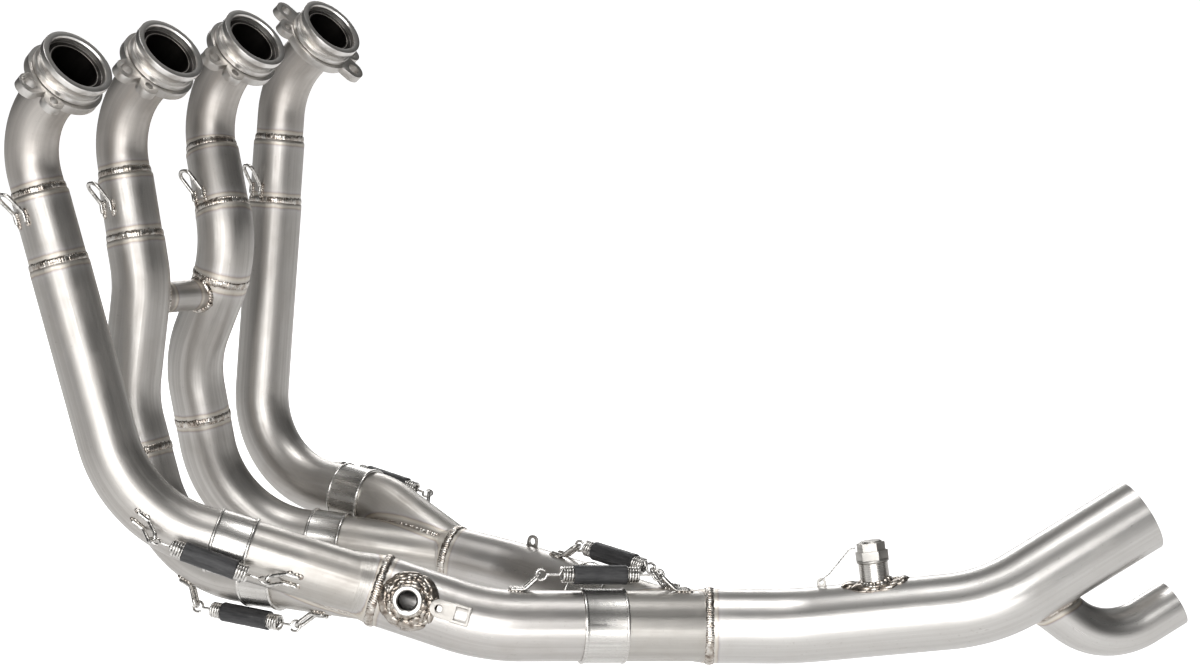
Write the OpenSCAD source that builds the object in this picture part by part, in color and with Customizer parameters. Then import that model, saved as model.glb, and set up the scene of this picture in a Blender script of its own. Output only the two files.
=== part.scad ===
// Four-into-two-into-one exhaust header of a motorcycle.
// Origin at the middle of the row of ports, on the open faces of the port rings.
// X points to the rear, Y to the rider's right, Z up. All sizes in millimetres.

/* [Ports] */
// Distance from one port to the next
port_pitch = 90; // [86:1:94]
// Tilt of the port axes above the horizontal
port_tilt = 42.5; // [40:0.5:45]
// Bore at the open face of a port ring
port_bore = 42; // [38:0.5:43]
// Outside of a port ring
port_ring_od = 50; // [48:0.5:54]
// Length of a port ring along its axis
port_ring_len = 15; // [13:0.5:16]

/* [Flanges] */
// Thickness of a loose flange
flange_thickness = 6; // [4:0.5:7]
// Circle on which the stud holes lie
flange_pcd = 65; // [63:0.5:72]
// Width of a stud hole
stud_hole = 8.5; // [6.5:0.5:9]
// Circle on which the smaller second holes lie
second_pcd = 58; // [56:0.5:60]
// Width of a second hole
second_hole = 6; // [5:0.5:6.5]
// Angle from a stud hole to the second hole beside it
pair_angle = 33; // [30:1:45]

/* [Tubes] */
// Outside of the bent head pieces
head_od = 35; // [33:0.5:36]
// Outside of the short step tubes
step_od = 38; // [37:0.5:39]
// Outside of the long down tubes
down_od = 40; // [39.5:0.5:41]
// Wall of every tube
tube_wall = 1.2; // [1:0.1:1.5]
// Outside of the stub between the two middle tubes
cross_od = 22; // [16:0.5:24]

/* [Collectors] */
// Outside of the pipe behind the near collector
near_od = 47; // [46:0.5:48]
// Outside of the pipe behind the far collector
far_od = 45; // [44:0.5:46]
// Outside of the tail pipe
tail_od = 50; // [49:0.5:52]
// Outside of the branch under the tail pipe
branch_od = 32; // [28:0.5:34]

/* [Slip joints] */
// Length of a slip collar on a down tube
slip_len = 26; // [20:1:27]
// Length of a slip collar ahead of the last junction
final_slip_len = 30; // [26:1:34]
// Wall of a slip collar
slip_wall = 1.2; // [1:0.1:1.6]
// Gap between a slip collar and the tube in it
slip_gap = 0.05; // [0.03:0.01:0.1]

/* [Springs] */
// Outside of a spring
coil_od = 11; // [9:0.5:11.5]
// Wire of a spring
coil_wire = 1.8; // [1.4:0.1:2]
// Length of the coiled part
coil_len = 52; // [46:1:54]
// Outside of the rubber sleeve over a spring
sleeve_od = 13; // [12.5:0.1:13.4]
// Length of the rubber sleeve
sleeve_len = 36; // [28:1:40]
// Wire of the welded spring loops
loop_wire = 2.8; // [2.2:0.1:3]

/* [Fittings] */
// Outside of the sensor boss
sensor_boss_od = 20; // [18:0.5:22]
// Bore of the sensor boss
sensor_bore = 12; // [10:0.5:12.5]
// Outside of the boss under the blanking plug
plug_boss_od = 20; // [19:0.5:22]
// Width of the plug's lower hexagon across its flats
plug_hex = 19; // [17:1:21]
// Shank of the plug
plug_shank = 14; // [10:1:15]

/* [Hidden] */
$fn = 64;

// How far a straight runs into the bend next to it, and how much a bend thins its wall
seam_lap = 0.5;
bend_thinning = 0.05;
swage_len = 3;
tube_inset = 5;

// The four parts of a port ring behind its open face, and its bevelled mouth
ring_band = 4;
ring_cone = 5;
ring_waist = 2;
ring_waist_depth = 2.2;
ring_back_depth = 0.6;
mouth_bevel = 1.2;
mouth_step = 0.8;

// Loose flanges: the way the first stud hole points, and the room round the tube
flange_turn = [182, 182, 182, 115];
flange_play = 0.4;
flange_rim = 9.5;
flange_gap = 0.3;
ear_rim = 4;

// Ridges of the slip collars
ridge_len = 2.4;
ridge_rise = 0.9;
final_ridge_rise = 0.5;

// Collectors: where the outlet's cone starts and ends, and where the next pipe takes over
cone_start = -18;
cone_end = 4;
collector_end = 7;
near_leg_short = 12;
far_leg_short = 8;
leg_short = 10;

// Fittings on the near pipe, the far pipe and the tail pipe
sensor_station = 29;
sensor_side = [0.305, -0.869, 0.389];
sensor_boss_rise = 9;
tab_station = 64;
tab_side = [0.43, -0.80, 0.42];
tab_frame = [12, 13];
tab_opening = [8, 9];
tab_rise = 3.4;
tab_reach = 15;
tab_hole = 5;
plate_thickness = 1.5;
far_lug_station = 66;
lug_station = 86;
plug_station = 122;
plug_side = [-0.262, 0.106, 0.959];
plug_boss_rise = 13;
plug_lift = tail_od / 2 + plug_boss_rise;
plug_top = plug_hex - 2.5;
lower_hex_len = 6;
top_hex_len = 5.5;
lock_wire_r = 0.6;

// Welded wire loops
loop_gap = 3.6;
loop_foot = 8;
loop_reach = 12;
loop_lift = [10.5, 10.5, 11.7, 12.2, 10.5, 10.5];
head_loop_station = [114, 122, 127, 137];
head_loop_side = [-0.2, -0.97, 0.1];
head_loop_gap = 5;
head_loop_foot = 5;
head_loop_reach = 16;
head_loop_lift = 11;
hook_r = 3.6;

port_axis = [cos(port_tilt), 0, sin(port_tilt)];
function port_at(i) = [0, (i - 2.5) * port_pitch, 0];

// Corners of each pipe's centre line and the bend radius at each corner
near_junction = [182, -64, -348];
far_junction = [150, 71, -370];
last_junction = [362, 62, -378];
head_reach = [70.9, 71.2, 68.5, 63.6];
down_corners = [
    [[33, -146, -294], near_junction],
    [[-21, -61, -160], [-25, -75, -241], [14, -83, -350], near_junction],
    [[-4, 14, -151], [-40, 9, -230], [-22, 15, -356], far_junction],
    [[-39, 77, -333], [75, 82, -341], far_junction]];
bend_radii = [[0, 50, 90, 0], [0, 55, 80, 80, 80, 0], [0, 55, 68, 80, 80, 0], [0, 55, 70, 60, 0]];
near_corner = [243, -38, -368];
far_corners = [[197, 77, -375], [318, 56, -379]];
tail_corners = [[407, 87, -378], [529, 130, -356], [605, 204, -300]];
branch_route = [[542, 151, -342], [590, 188, -390], [625, 223, -364]];
near_bends = [0, 124, 0];
far_bends = [0, 100, 80, 0];
tail_bends = [0, 150, 100, 0];
branch_bends = [0, 48, 0];

// Stations of the welds and slip joints, measured along each pipe from its port
step_start = [100, 100, 91, 98.5];
down_start = [148.5, 144.5, 137, 145.5];
middle_start = 187;
lower_start = [0, 294.5, 298, 0];
slip_at = [382, 436, 442.5, 418];
near_slip_at = 158;
far_slip_at = 133;
cross_station = [188, 200];

// Unit vectors seen from the side on which the spring rows lie
toward_side = [0.489, -0.842, 0.227];
toward_top = [-0.114, 0.196, 0.974];

function unit(v) = v / norm(v);
function leg_dir(p, i) = unit(p[i + 1] - p[i]);
function turn(p, i) = acos(max(-1, min(1, leg_dir(p, i - 1) * leg_dir(p, i))));
function at_end(p, i) = i == 0 || i == len(p) - 1;
function setback(p, b, i) = at_end(p, i) ? 0 : b[i] * tan(turn(p, i) / 2);
function straight_len(p, b, i) = norm(p[i + 1] - p[i]) - setback(p, b, i) - setback(p, b, i + 1);
function arc_len(p, b, i) = at_end(p, i) ? 0 : b[i] * turn(p, i) * PI / 180;
function start_of(p, b, i) =
    i == 0 ? 0 : start_of(p, b, i - 1) + straight_len(p, b, i - 1) + arc_len(p, b, i);
function total_len(p, b) = start_of(p, b, len(p) - 1);

// Frame with its z axis along z and its x axis as near to x as it can be
function frame(o, z, x) = let (u = unit(x - z * (x * z)), y = cross(z, u))
    [[u.x, y.x, z.x, o.x], [u.y, y.y, z.y, o.y], [u.z, y.z, z.z, o.z], [0, 0, 0, 1]];
function any_side(z) = abs(z.z) < 0.9 ? [0, 0, 1] : [1, 0, 0];

// Point and direction at a station along a pipe
function leg_at(p, b, s, i = 0) =
    i == len(p) - 2 || s <= start_of(p, b, i + 1) ? i : leg_at(p, b, s, i + 1);
function bend_axis(p, i) = unit(cross(leg_dir(p, i - 1), leg_dir(p, i)));
function bend_out(p, i) = cross(leg_dir(p, i - 1), bend_axis(p, i));
function bend_centre(p, b, i) =
    p[i] - leg_dir(p, i - 1) * setback(p, b, i) - bend_out(p, i) * b[i];
function into_bend(p, b, s, i) = s - start_of(p, b, i) - straight_len(p, b, i);
function point_on(p, b, s) = let (i = leg_at(p, b, s), q = into_bend(p, b, s, i))
    q <= 0 || i == len(p) - 2
        ? p[i] + leg_dir(p, i) * (setback(p, b, i) + s - start_of(p, b, i))
        : let (a = q / b[i + 1] * 180 / PI)
            bend_centre(p, b, i + 1)
            + (bend_out(p, i + 1) * cos(a) + leg_dir(p, i) * sin(a)) * b[i + 1];
function dir_on(p, b, s) = let (i = leg_at(p, b, s), q = into_bend(p, b, s, i))
    q <= 0 || i == len(p) - 2
        ? leg_dir(p, i)
        : let (a = q / b[i + 1] * 180 / PI) leg_dir(p, i) * cos(a) - bend_out(p, i + 1) * sin(a);

// Routes of the pipes
function head_route(i) = concat(
    [port_at(i) - port_axis * tube_inset, port_at(i) - port_axis * head_reach[i - 1]],
    down_corners[i - 1]);
near_route = [near_junction - unit(near_corner - near_junction) * 12, near_corner, last_junction];
far_route = concat([far_junction - unit(far_corners[0] - far_junction) * 12],
    far_corners, [last_junction]);
tail_route = concat([last_junction - unit(tail_corners[0] - last_junction) * 12], tail_corners);

module ring_shape(ro, ri) {
    difference() {
        circle(ro);
        if (ri > 0) circle(ri);
    }
}

// A bent tube from station s0 to station s1, or a solid rod if ri is 0
module pipe(p, b, s0, s1, ro, ri) {
    thin_ri = ri > 0 ? ri + bend_thinning : 0;
    for (i = [0 : len(p) - 2]) {
        a = start_of(p, b, i);
        e = a + straight_len(p, b, i);
        more = i < len(p) - 2;
        lap = min(seam_lap, ro * 0.1);
        lo = max(s0, a - (i > 0 ? lap : 0));
        hi = min(s1, e + (more ? lap : 0));
        if (hi > lo + 0.001)
            multmatrix(frame(p[i] + leg_dir(p, i) * (setback(p, b, i) + lo - a),
                    leg_dir(p, i), any_side(leg_dir(p, i))))
                linear_extrude(hi - lo) ring_shape(ro, ri);
        if (more) {
            from = max(s0, e);
            to = min(s1, e + arc_len(p, b, i + 1));
            per_mm = 180 / PI / b[i + 1];
            if (to > from + 0.001)
                multmatrix(frame(bend_centre(p, b, i + 1), bend_axis(p, i + 1) * -1, bend_out(p, i + 1)))
                    rotate_extrude(start = (e - to) * per_mm, angle = (to - from) * per_mm)
                        translate([b[i + 1], 0]) ring_shape(ro - bend_thinning, thin_ri);
        }
    }
}

// Places its children at a station, z along the pipe and x towards a side
module at_station(p, b, s, side) {
    multmatrix(frame(point_on(p, b, s), dir_on(p, b, s), side)) children();
}

// Places its children at a port, z out of the open face and x level
module at_port(i) {
    multmatrix(frame(port_at(i), port_axis, [0, 1, 0])) children();
}

// Cone that widens a tube at the start of the next size
module swage(r0, r1, len) {
    difference() {
        cylinder(r1 = r0, r2 = r1 - 0.1, h = len);
        translate([0, 0, -0.01])
            cylinder(r1 = r0 - tube_wall, r2 = r1 - tube_wall + 0.1, h = len + 0.02);
    }
}

module port_ring(i) {
    lip = port_ring_od / 2;
    waist = lip - ring_waist_depth;
    back = ring_band + ring_cone + ring_waist;
    mouth = port_bore / 2;
    color("silver")
        at_port(i)
            difference() {
                union() {
                    translate([0, 0, -ring_band]) cylinder(r = lip, h = ring_band);
                    translate([0, 0, -ring_band - ring_cone]) cylinder(r1 = waist, r2 = lip, h = ring_cone);
                    translate([0, 0, -back]) cylinder(r = waist, h = ring_waist + 0.01);
                    translate([0, 0, -port_ring_len])
                        cylinder(r = lip - ring_back_depth, h = port_ring_len - back + 0.01);
                }
                translate([0, 0, -mouth_bevel])
                    cylinder(r1 = mouth - mouth_step, r2 = mouth + 0.01, h = mouth_bevel + 0.01);
                translate([0, 0, -tube_inset]) cylinder(r = mouth - mouth_step, h = tube_inset);
                translate([0, 0, -port_ring_len - 1]) cylinder(r = head_od / 2, h = port_ring_len);
            }
}

// Two opposite ears of a flange, the first at an angle from x
module ears(angle, pcd, r) {
    for (a = [angle, angle + 180])
        rotate(a) {
            translate([0, -r]) square([pcd / 2, 2 * r]);
            translate([pcd / 2, 0]) circle(r);
        }
}

module ear_holes(angle, pcd, r) {
    for (a = [angle, angle + 180])
        rotate(a) translate([pcd / 2, 0, -1]) cylinder(r = r, h = flange_thickness + 2);
}

module port_flange(i) {
    color("silver")
        at_port(i)
            translate([0, 0, -port_ring_len - flange_gap - flange_thickness])
                rotate([0, 0, flange_turn[i - 1]])
                    difference() {
                        linear_extrude(flange_thickness)
                            union() {
                                circle(head_od / 2 + flange_rim);
                                ears(0, flange_pcd, stud_hole / 2 + ear_rim);
                                ears(pair_angle, second_pcd, second_hole / 2 + ear_rim);
                            }
                        translate([0, 0, -1]) cylinder(r = head_od / 2 + flange_play, h = flange_thickness + 2);
                        ear_holes(0, flange_pcd, stud_hole / 2);
                        ear_holes(pair_angle, second_pcd, second_hole / 2);
                    }
}

module head_piece(i, from, to, r) {
    pipe(head_route(i), bend_radii[i - 1], from, to, r, r - tube_wall);
}

module head_bend(i) {
    color("silver") head_piece(i, 0, step_start[i - 1], head_od / 2);
}

// A tube that starts with a swage and a weld bead on the piece before it
module widened_piece(i, from, to, r0, r1) {
    head_piece(i, from + swage_len - 0.4, to, r1);
    at_station(head_route(i), bend_radii[i - 1], from, [0, -1, 0])
        swage(r0, r1, swage_len);
}

module step_tube(i) {
    color("silver")
        widened_piece(i, step_start[i - 1], down_start[i - 1], head_od / 2, step_od / 2);
}

function down_end(i) =
    i == 2 ? lower_start[1] : i == 3 ? middle_start : slip_at[i - 1] - 0.5;

module cross_bore() {
    across = cross_end(3) - cross_end(2);
    multmatrix(frame(cross_end(2), unit(across), [0, 0, 1]))
        cylinder(r = cross_od / 2 - tube_wall, h = norm(across));
}

function cross_end(i) = point_on(head_route(i), bend_radii[i - 1], cross_station[i - 2]);

module down_tube(i) {
    color("silver")
        difference() {
            widened_piece(i, down_start[i - 1], down_end(i), step_od / 2, down_od / 2);
            if (i == 2) cross_bore();
        }
}

module middle_tube() {
    color("silver")
        difference() {
            head_piece(3, middle_start, lower_start[2], down_od / 2);
            cross_bore();
        }
}

module lower_bend(i) {
    color("silver") head_piece(i, lower_start[i - 1], slip_at[i - 1] - 0.5, down_od / 2);
}

module cross_stub() {
    a = cross_end(2);
    d = unit(cross_end(3) - a);
    span = norm(cross_end(3) - a);
    color("silver")
        difference() {
            multmatrix(frame(a, d, [0, 0, 1]))
                linear_extrude(span) ring_shape(cross_od / 2, cross_od / 2 - tube_wall);
            for (i = [2, 3])
                pipe(head_route(i), bend_radii[i - 1],
                    cross_station[i - 2] - 35, cross_station[i - 2] + 35, down_od / 2, 0);
        }
}

// Sleeve over a slip joint, with a rolled ridge at each end
module slip_collar_shape(r, len, ridge) {
    ri = r + slip_gap;
    ro = ri + slip_wall;
    rotate_extrude()
        union() {
            translate([ri, -len / 2]) square([slip_wall, len]);
            for (z = [-len / 2, len / 2 - ridge_len])
                translate([ro - 0.4, z]) square([ridge + 0.4, ridge_len]);
        }
}

// Room round a slip collar, cut from a leg that passes close by
module collar_room(r, len, ridge) {
    rotate_extrude()
        translate([r + slip_gap / 2, -len / 2 - 0.2])
            square([slip_gap / 2 + slip_wall + ridge + 0.15, len + 0.4]);
}

module slip_collar(i) {
    color("silver")
        at_station(head_route(i), bend_radii[i - 1], slip_at[i - 1], toward_side)
            slip_collar_shape(down_od / 2, slip_len, ridge_rise);
}

// Two legs that run together into one outlet
module merge_legs(first, second, r0, r1, out_route, out_bends, out_r, shrink) {
    leg(first, r0 - shrink, shrink);
    leg(second, r1 - shrink, shrink);
    at_station(out_route, out_bends, 0, [0, 0, 1]) {
        translate([0, 0, cone_start])
            cylinder(r1 = min(r0, r1) - 0.6 - shrink, r2 = out_r - shrink, h = cone_end - cone_start);
        translate([0, 0, cone_end - 0.01])
            cylinder(r = out_r - shrink, h = collector_end - cone_end + (shrink > 0 ? 1.5 : 0.5));
    }
}

// One leg of a junction: route, bends and the stations where it starts and stops
module leg(l, r, shrink) {
    more = shrink > 0 ? 1 : 0;
    pipe(l[0], l[1], l[2] - more, l[3], r, 0);
}

function head_leg(i) = [head_route(i), bend_radii[i - 1], slip_at[i - 1] + 0.5,
    total_len(head_route(i), bend_radii[i - 1]) - leg_short];

module junction(first, second, r0, r1, out_route, out_bends, out_r) {
    difference() {
        merge_legs(first, second, r0, r1, out_route, out_bends, out_r, 0);
        merge_legs(first, second, r0, r1, out_route, out_bends, out_r, tube_wall);
        at_station(out_route, out_bends, collector_end, [0, 0, 1])
            cylinder(r = out_r + 15, h = 40);
    }
}

module near_collector() {
    color("silver")
        difference() {
            junction(head_leg(1), head_leg(2), down_od / 2, down_od / 2,
                near_route, near_bends, near_od / 2);
            at_station(head_route(2), bend_radii[1], slip_at[1], toward_side)
                collar_room(down_od / 2, slip_len, ridge_rise);
        }
}

module far_collector() {
    color("silver")
        junction(head_leg(3), head_leg(4), down_od / 2, down_od / 2,
            far_route, far_bends, far_od / 2);
}

module near_pipe() {
    color("silver")
        difference() {
            pipe(near_route, near_bends, collector_end, near_slip_at - 0.5,
                near_od / 2, near_od / 2 - tube_wall);
            at_station(near_route, near_bends, sensor_station, sensor_side)
                rotate([0, 90, 0]) cylinder(r = sensor_bore / 2, h = near_od);
        }
}

module far_pipe() {
    color("silver")
        pipe(far_route, far_bends, collector_end, far_slip_at - 0.5, far_od / 2, far_od / 2 - tube_wall);
}

module final_slip(p, b, s, r) {
    color("silver") at_station(p, b, s, toward_side) slip_collar_shape(r, final_slip_len, final_ridge_rise);
}

module final_collector() {
    color("silver")
        difference() {
            junction([near_route, near_bends, near_slip_at + 0.5,
                    total_len(near_route, near_bends) - near_leg_short],
                [far_route, far_bends, far_slip_at + 0.5, total_len(far_route, far_bends) - far_leg_short],
                near_od / 2, far_od / 2, tail_route, tail_bends, tail_od / 2);
            at_station(near_route, near_bends, near_slip_at, toward_side)
                collar_room(near_od / 2, final_slip_len, final_ridge_rise);
        }
}

module tail_pipe() {
    color("silver")
        difference() {
            pipe(tail_route, tail_bends, collector_end, total_len(tail_route, tail_bends),
                tail_od / 2, tail_od / 2 - tube_wall);
            pipe(branch_route, branch_bends, 0, 75, branch_od / 2 - tube_wall, 0);
            at_station(tail_route, tail_bends, plug_station, plug_side)
                rotate([0, 90, 0]) cylinder(r = plug_shank / 2 + 0.5, h = tail_od);
        }
}

module branch_pipe() {
    color("silver")
        difference() {
            pipe(branch_route, branch_bends, 0, total_len(branch_route, branch_bends),
                branch_od / 2, branch_od / 2 - tube_wall);
            pipe(tail_route, tail_bends, 150, total_len(tail_route, tail_bends), tail_od / 2, 0);
        }
}

// Wire loop welded to a tube of radius r: feet on the tube, bow lifted clear of it
module wire_loop(r, half_gap, foot, reach, lift, way) {
    h = r + loop_wire / 2 - 0.3;
    top = r + lift;
    p = [[h, -half_gap, -foot * way], [h, -half_gap, 2 * way], [top, -half_gap, reach * way],
        [top, half_gap, reach * way], [h, half_gap, 2 * way], [h, half_gap, -foot * way]];
    bow = half_gap * 0.97;
    b = [0, 3, bow, bow, 3, 0];
    pipe(p, b, 0, total_len(p, b), loop_wire / 2, 0);
}

module head_loops() {
    color("silver")
        for (i = [1 : 4])
            at_station(head_route(i), bend_radii[i - 1], head_loop_station[i - 1], head_loop_side)
                wire_loop(step_od / 2, head_loop_gap, head_loop_foot, head_loop_reach, head_loop_lift, -1);
}

// Each spring: route, bends, radius and station at either end, then its side
function side_mix(a, b) = toward_side * a + toward_top * b;
function spring_ends(k) =
    k == 5 ? [near_route, near_bends, near_od / 2, 103, 209, toward_top, loop_lift[4]]
    : k == 6 ? [far_route, far_bends, far_od / 2, 96, 189, toward_top, loop_lift[5]]
    : [head_route(k), bend_radii[k - 1], down_od / 2, slip_at[k - 1] - [55, 50, 52, 46][k - 1],
        slip_at[k - 1] + [42, 42, 47, 50][k - 1],
        [side_mix(0.914, -0.407), side_mix(0.3, -0.95), side_mix(-0.6, -0.8), side_mix(-0.8, 0.6)][k - 1],
        loop_lift[k - 1]];

function bow_at(e, s, way) = let (d = dir_on(e[0], e[1], s), u = unit(e[5] - d * (e[5] * d)))
    point_on(e[0], e[1], s) + u * (e[2] + e[6]) + d * loop_reach * way;

module spring_loops() {
    color("silver")
        for (k = [1 : 6]) {
            e = spring_ends(k);
            at_station(e[0], e[1], e[3], e[5]) wire_loop(e[2], loop_gap, loop_foot, loop_reach, e[6], 1);
            at_station(e[0], e[1], e[4], e[5]) wire_loop(e[2], loop_gap, loop_foot, loop_reach, e[6], -1);
        }
}

// Hook of a spring: a ring round the bow of a loop, and its tail to the coil
module hook(len) {
    far = loop_wire / 2 + coil_wire / 2 + 0.05;
    translate([0, 0, hook_r - far])
        rotate([90, 0, 0])
            rotate_extrude(start = -270, angle = 320)
                translate([hook_r, 0]) circle(coil_wire / 2, $fn = 24);
    translate([0, 0, 2 * hook_r - far])
        cylinder(r = coil_wire / 2, h = len - 2 * hook_r + far, $fn = 24);
}

module spring(k) {
    e = spring_ends(k);
    a = bow_at(e, e[3], 1);
    z = bow_at(e, e[4], -1);
    span = norm(z - a);
    rest = (span - coil_len) / 2;
    turns = floor(coil_len / coil_wire);
    color("gray")
        multmatrix(frame(a, unit(z - a), e[5])) {
            hook(rest + 0.5);
            translate([0, 0, span]) rotate([180, 0, 0]) hook(rest + 0.5);
            translate([0, 0, rest]) {
                cylinder(r = coil_od / 2 - coil_wire * 0.7, h = coil_len);
                rotate_extrude()
                    for (n = [0 : turns - 1])
                        translate([coil_od / 2 - coil_wire / 2, (n + 0.5) * coil_len / turns])
                            circle(coil_wire / 2, $fn = 24);
            }
        }
}

module sleeve(k) {
    e = spring_ends(k);
    a = bow_at(e, e[3], 1);
    z = bow_at(e, e[4], -1);
    color("black")
        multmatrix(frame(a, unit(z - a), e[5]))
            translate([0, 0, (norm(z - a) - sleeve_len) / 2])
                linear_extrude(sleeve_len) ring_shape(sleeve_od / 2, coil_od / 2 + 0.05);
}

module sensor_boss() {
    color("silver")
        difference() {
            at_station(near_route, near_bends, sensor_station, sensor_side)
                rotate([0, 90, 0])
                    difference() {
                        cylinder(r = sensor_boss_od / 2, h = near_od / 2 + sensor_boss_rise);
                        cylinder(r = sensor_bore / 2, h = near_od);
                    }
            pipe(near_route, near_bends, 0, 70, near_od / 2, 0);
        }
}

// Folded frame welded to the near pipe, with a drilled tongue that reaches forward from it
module hose_tab() {
    foot = near_od / 2 - 1;
    round_r = tab_frame.x / 2;
    color("silver")
        at_station(near_route, near_bends, tab_station, tab_side)
            rotate([0, 90, 0])
                union() {
                    translate([0, 0, foot])
                        linear_extrude(1 + tab_rise)
                            difference() {
                                square(tab_frame, center = true);
                                square(tab_opening, center = true);
                            }
                    translate([0, 0, foot + 1 + tab_rise - plate_thickness])
                        linear_extrude(plate_thickness)
                            difference() {
                                union() {
                                    translate([tab_opening.x / 2 + 0.5, -round_r])
                                        square([tab_reach - tab_opening.x / 2 - 0.5, 2 * round_r]);
                                    translate([tab_reach, 0]) circle(round_r);
                                }
                                translate([tab_reach, 0]) circle(tab_hole / 2);
                            }
                }
}

module lug(p, b, s, r, side, w, h) {
    at_station(p, b, s, side)
        translate([r - 0.5, 0, 0])
            rotate([90, 0, 0])
                linear_extrude(plate_thickness)
                    difference() {
                        union() {
                            translate([0, -w / 2]) square([h, w]);
                            translate([h, 0]) circle(w / 2);
                        }
                        translate([h, 0]) circle(w / 4);
                    }
}

module far_lug() {
    color("silver") lug(far_route, far_bends, far_lug_station, far_od / 2, toward_top, 9, 4);
}

module wire_lug() {
    color("silver") lug(tail_route, tail_bends, lug_station, tail_od / 2, plug_side, 6, 3);
}

module at_plug() {
    at_station(tail_route, tail_bends, plug_station, plug_side)
        rotate([0, 90, 0]) children();
}

module plug_boss() {
    color("silver")
        difference() {
            at_plug()
                difference() {
                    cylinder(r = plug_boss_od / 2, h = plug_lift);
                    cylinder(r = plug_shank / 2 + 0.05, h = plug_lift + 1);
                }
            pipe(tail_route, tail_bends, 80, 165, tail_od / 2, 0);
        }
}

module plug_washer() {
    color("silver")
        at_plug()
            translate([0, 0, plug_lift])
                linear_extrude(plate_thickness) ring_shape(plug_boss_od / 2 + 0.8, plug_shank / 2 + 0.3);
}

module blanking_plug() {
    seat = plug_lift + plate_thickness;
    color("silver")
        at_plug()
            union() {
                translate([0, 0, plug_lift - 10]) cylinder(r = plug_shank / 2, h = 10 + plate_thickness + 1);
                translate([0, 0, seat]) cylinder(r = plug_hex / 2 / cos(30), h = lower_hex_len, $fn = 6);
                translate([0, 0, seat + lower_hex_len - 0.01])
                    cylinder(r = plug_top / 2 / cos(30), h = top_hex_len, $fn = 6);
                translate([0, 0, seat + lower_hex_len + top_hex_len - 0.02])
                    cylinder(r1 = plug_top / 2 - 0.3, r2 = plug_top / 2 - 1.5, h = 1.2);
            }
}

module safety_wire() {
    head = point_on(tail_route, tail_bends, plug_station);
    back = dir_on(tail_route, tail_bends, plug_station) * -1;
    foot = point_on(tail_route, tail_bends, lug_station);
    hole = plug_lift + plate_thickness + lower_hex_len + top_hex_len / 2;
    p = [head + plug_side * hole + back * (plug_top / 2 / cos(30) - 1.2),
        head + plug_side * (hole - 0.5) + back * (plug_top / 2 + 4),
        foot + plug_side * (tail_od / 2 + 8) - back * 8,
        foot + plug_side * (tail_od / 2 + 3)];
    b = [0, 4, 6, 0];
    color("gray") pipe(p, b, 0, total_len(p, b), lock_wire_r, 0);
}

port_ring(1);  // port_ring_1
port_ring(2);  // port_ring_2
port_ring(3);  // port_ring_3
port_ring(4);  // port_ring_4
port_flange(1);  // port_flange_1
port_flange(2);  // port_flange_2
port_flange(3);  // port_flange_3
port_flange(4);  // port_flange_4
head_bend(1);  // head_bend_1
head_bend(2);  // head_bend_2
head_bend(3);  // head_bend_3
head_bend(4);  // head_bend_4
step_tube(1);  // step_tube_1
step_tube(2);  // step_tube_2
step_tube(3);  // step_tube_3
step_tube(4);  // step_tube_4
down_tube(1);  // down_tube_1
down_tube(2);  // down_tube_2
down_tube(3);  // down_tube_3
down_tube(4);  // down_tube_4
middle_tube();  // middle_tube_3
lower_bend(2);  // lower_bend_2
lower_bend(3);  // lower_bend_3
cross_stub();
slip_collar(1);  // slip_collar_1
slip_collar(2);  // slip_collar_2
slip_collar(3);  // slip_collar_3
slip_collar(4);  // slip_collar_4
near_collector();
far_collector();
near_pipe();
far_pipe();
final_slip(near_route, near_bends, near_slip_at, near_od / 2);  // final_slip_near
final_slip(far_route, far_bends, far_slip_at, far_od / 2);  // final_slip_far
final_collector();
tail_pipe();
branch_pipe();
head_loops();
spring_loops();
spring(1);  // spring_1
spring(2);  // spring_2
spring(3);  // spring_3
spring(4);  // spring_4
spring(5);  // spring_5
spring(6);  // spring_6
sleeve(1);  // sleeve_1
sleeve(2);  // sleeve_2
sleeve(3);  // sleeve_3
sleeve(4);  // sleeve_4
sleeve(5);  // sleeve_5
sleeve(6);  // sleeve_6
sensor_boss();
hose_tab();
far_lug();
plug_boss();
blanking_plug();
plug_washer();
safety_wire();
wire_lug();
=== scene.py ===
import math

import bpy
import numpy as np
from mathutils import Matrix, Vector


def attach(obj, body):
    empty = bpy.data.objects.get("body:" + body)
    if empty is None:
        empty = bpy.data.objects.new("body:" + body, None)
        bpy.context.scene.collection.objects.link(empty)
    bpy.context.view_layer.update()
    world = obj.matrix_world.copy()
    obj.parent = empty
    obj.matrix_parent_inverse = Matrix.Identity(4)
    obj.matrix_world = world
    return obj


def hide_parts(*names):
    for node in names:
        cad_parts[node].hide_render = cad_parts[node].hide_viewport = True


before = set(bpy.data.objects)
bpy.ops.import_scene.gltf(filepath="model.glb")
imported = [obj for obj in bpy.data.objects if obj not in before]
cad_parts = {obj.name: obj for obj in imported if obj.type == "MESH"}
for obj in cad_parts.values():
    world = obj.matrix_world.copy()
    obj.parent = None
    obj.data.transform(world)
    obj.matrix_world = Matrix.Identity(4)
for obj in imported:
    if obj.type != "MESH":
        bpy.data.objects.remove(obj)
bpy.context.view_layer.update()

# The studio. A pale floor well below the header, a white room with darker flanks and ceiling,
# one broad soft light in front and three weaker ones, as brushed tube is lit for a catalogue.
CAMERA_PLACE = (1.0186, -1.2253, 0.1592)
CAMERA_RIGHT = (0.86488, 0.50196, 0.0)
CAMERA_UP = (-0.11394, 0.19633, 0.97390)
CAMERA_BACK = (0.48886, -0.84231, 0.22700)
LENS = 68.12
SUBJECT = Vector((0.28, 0.02, -0.22))

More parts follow.
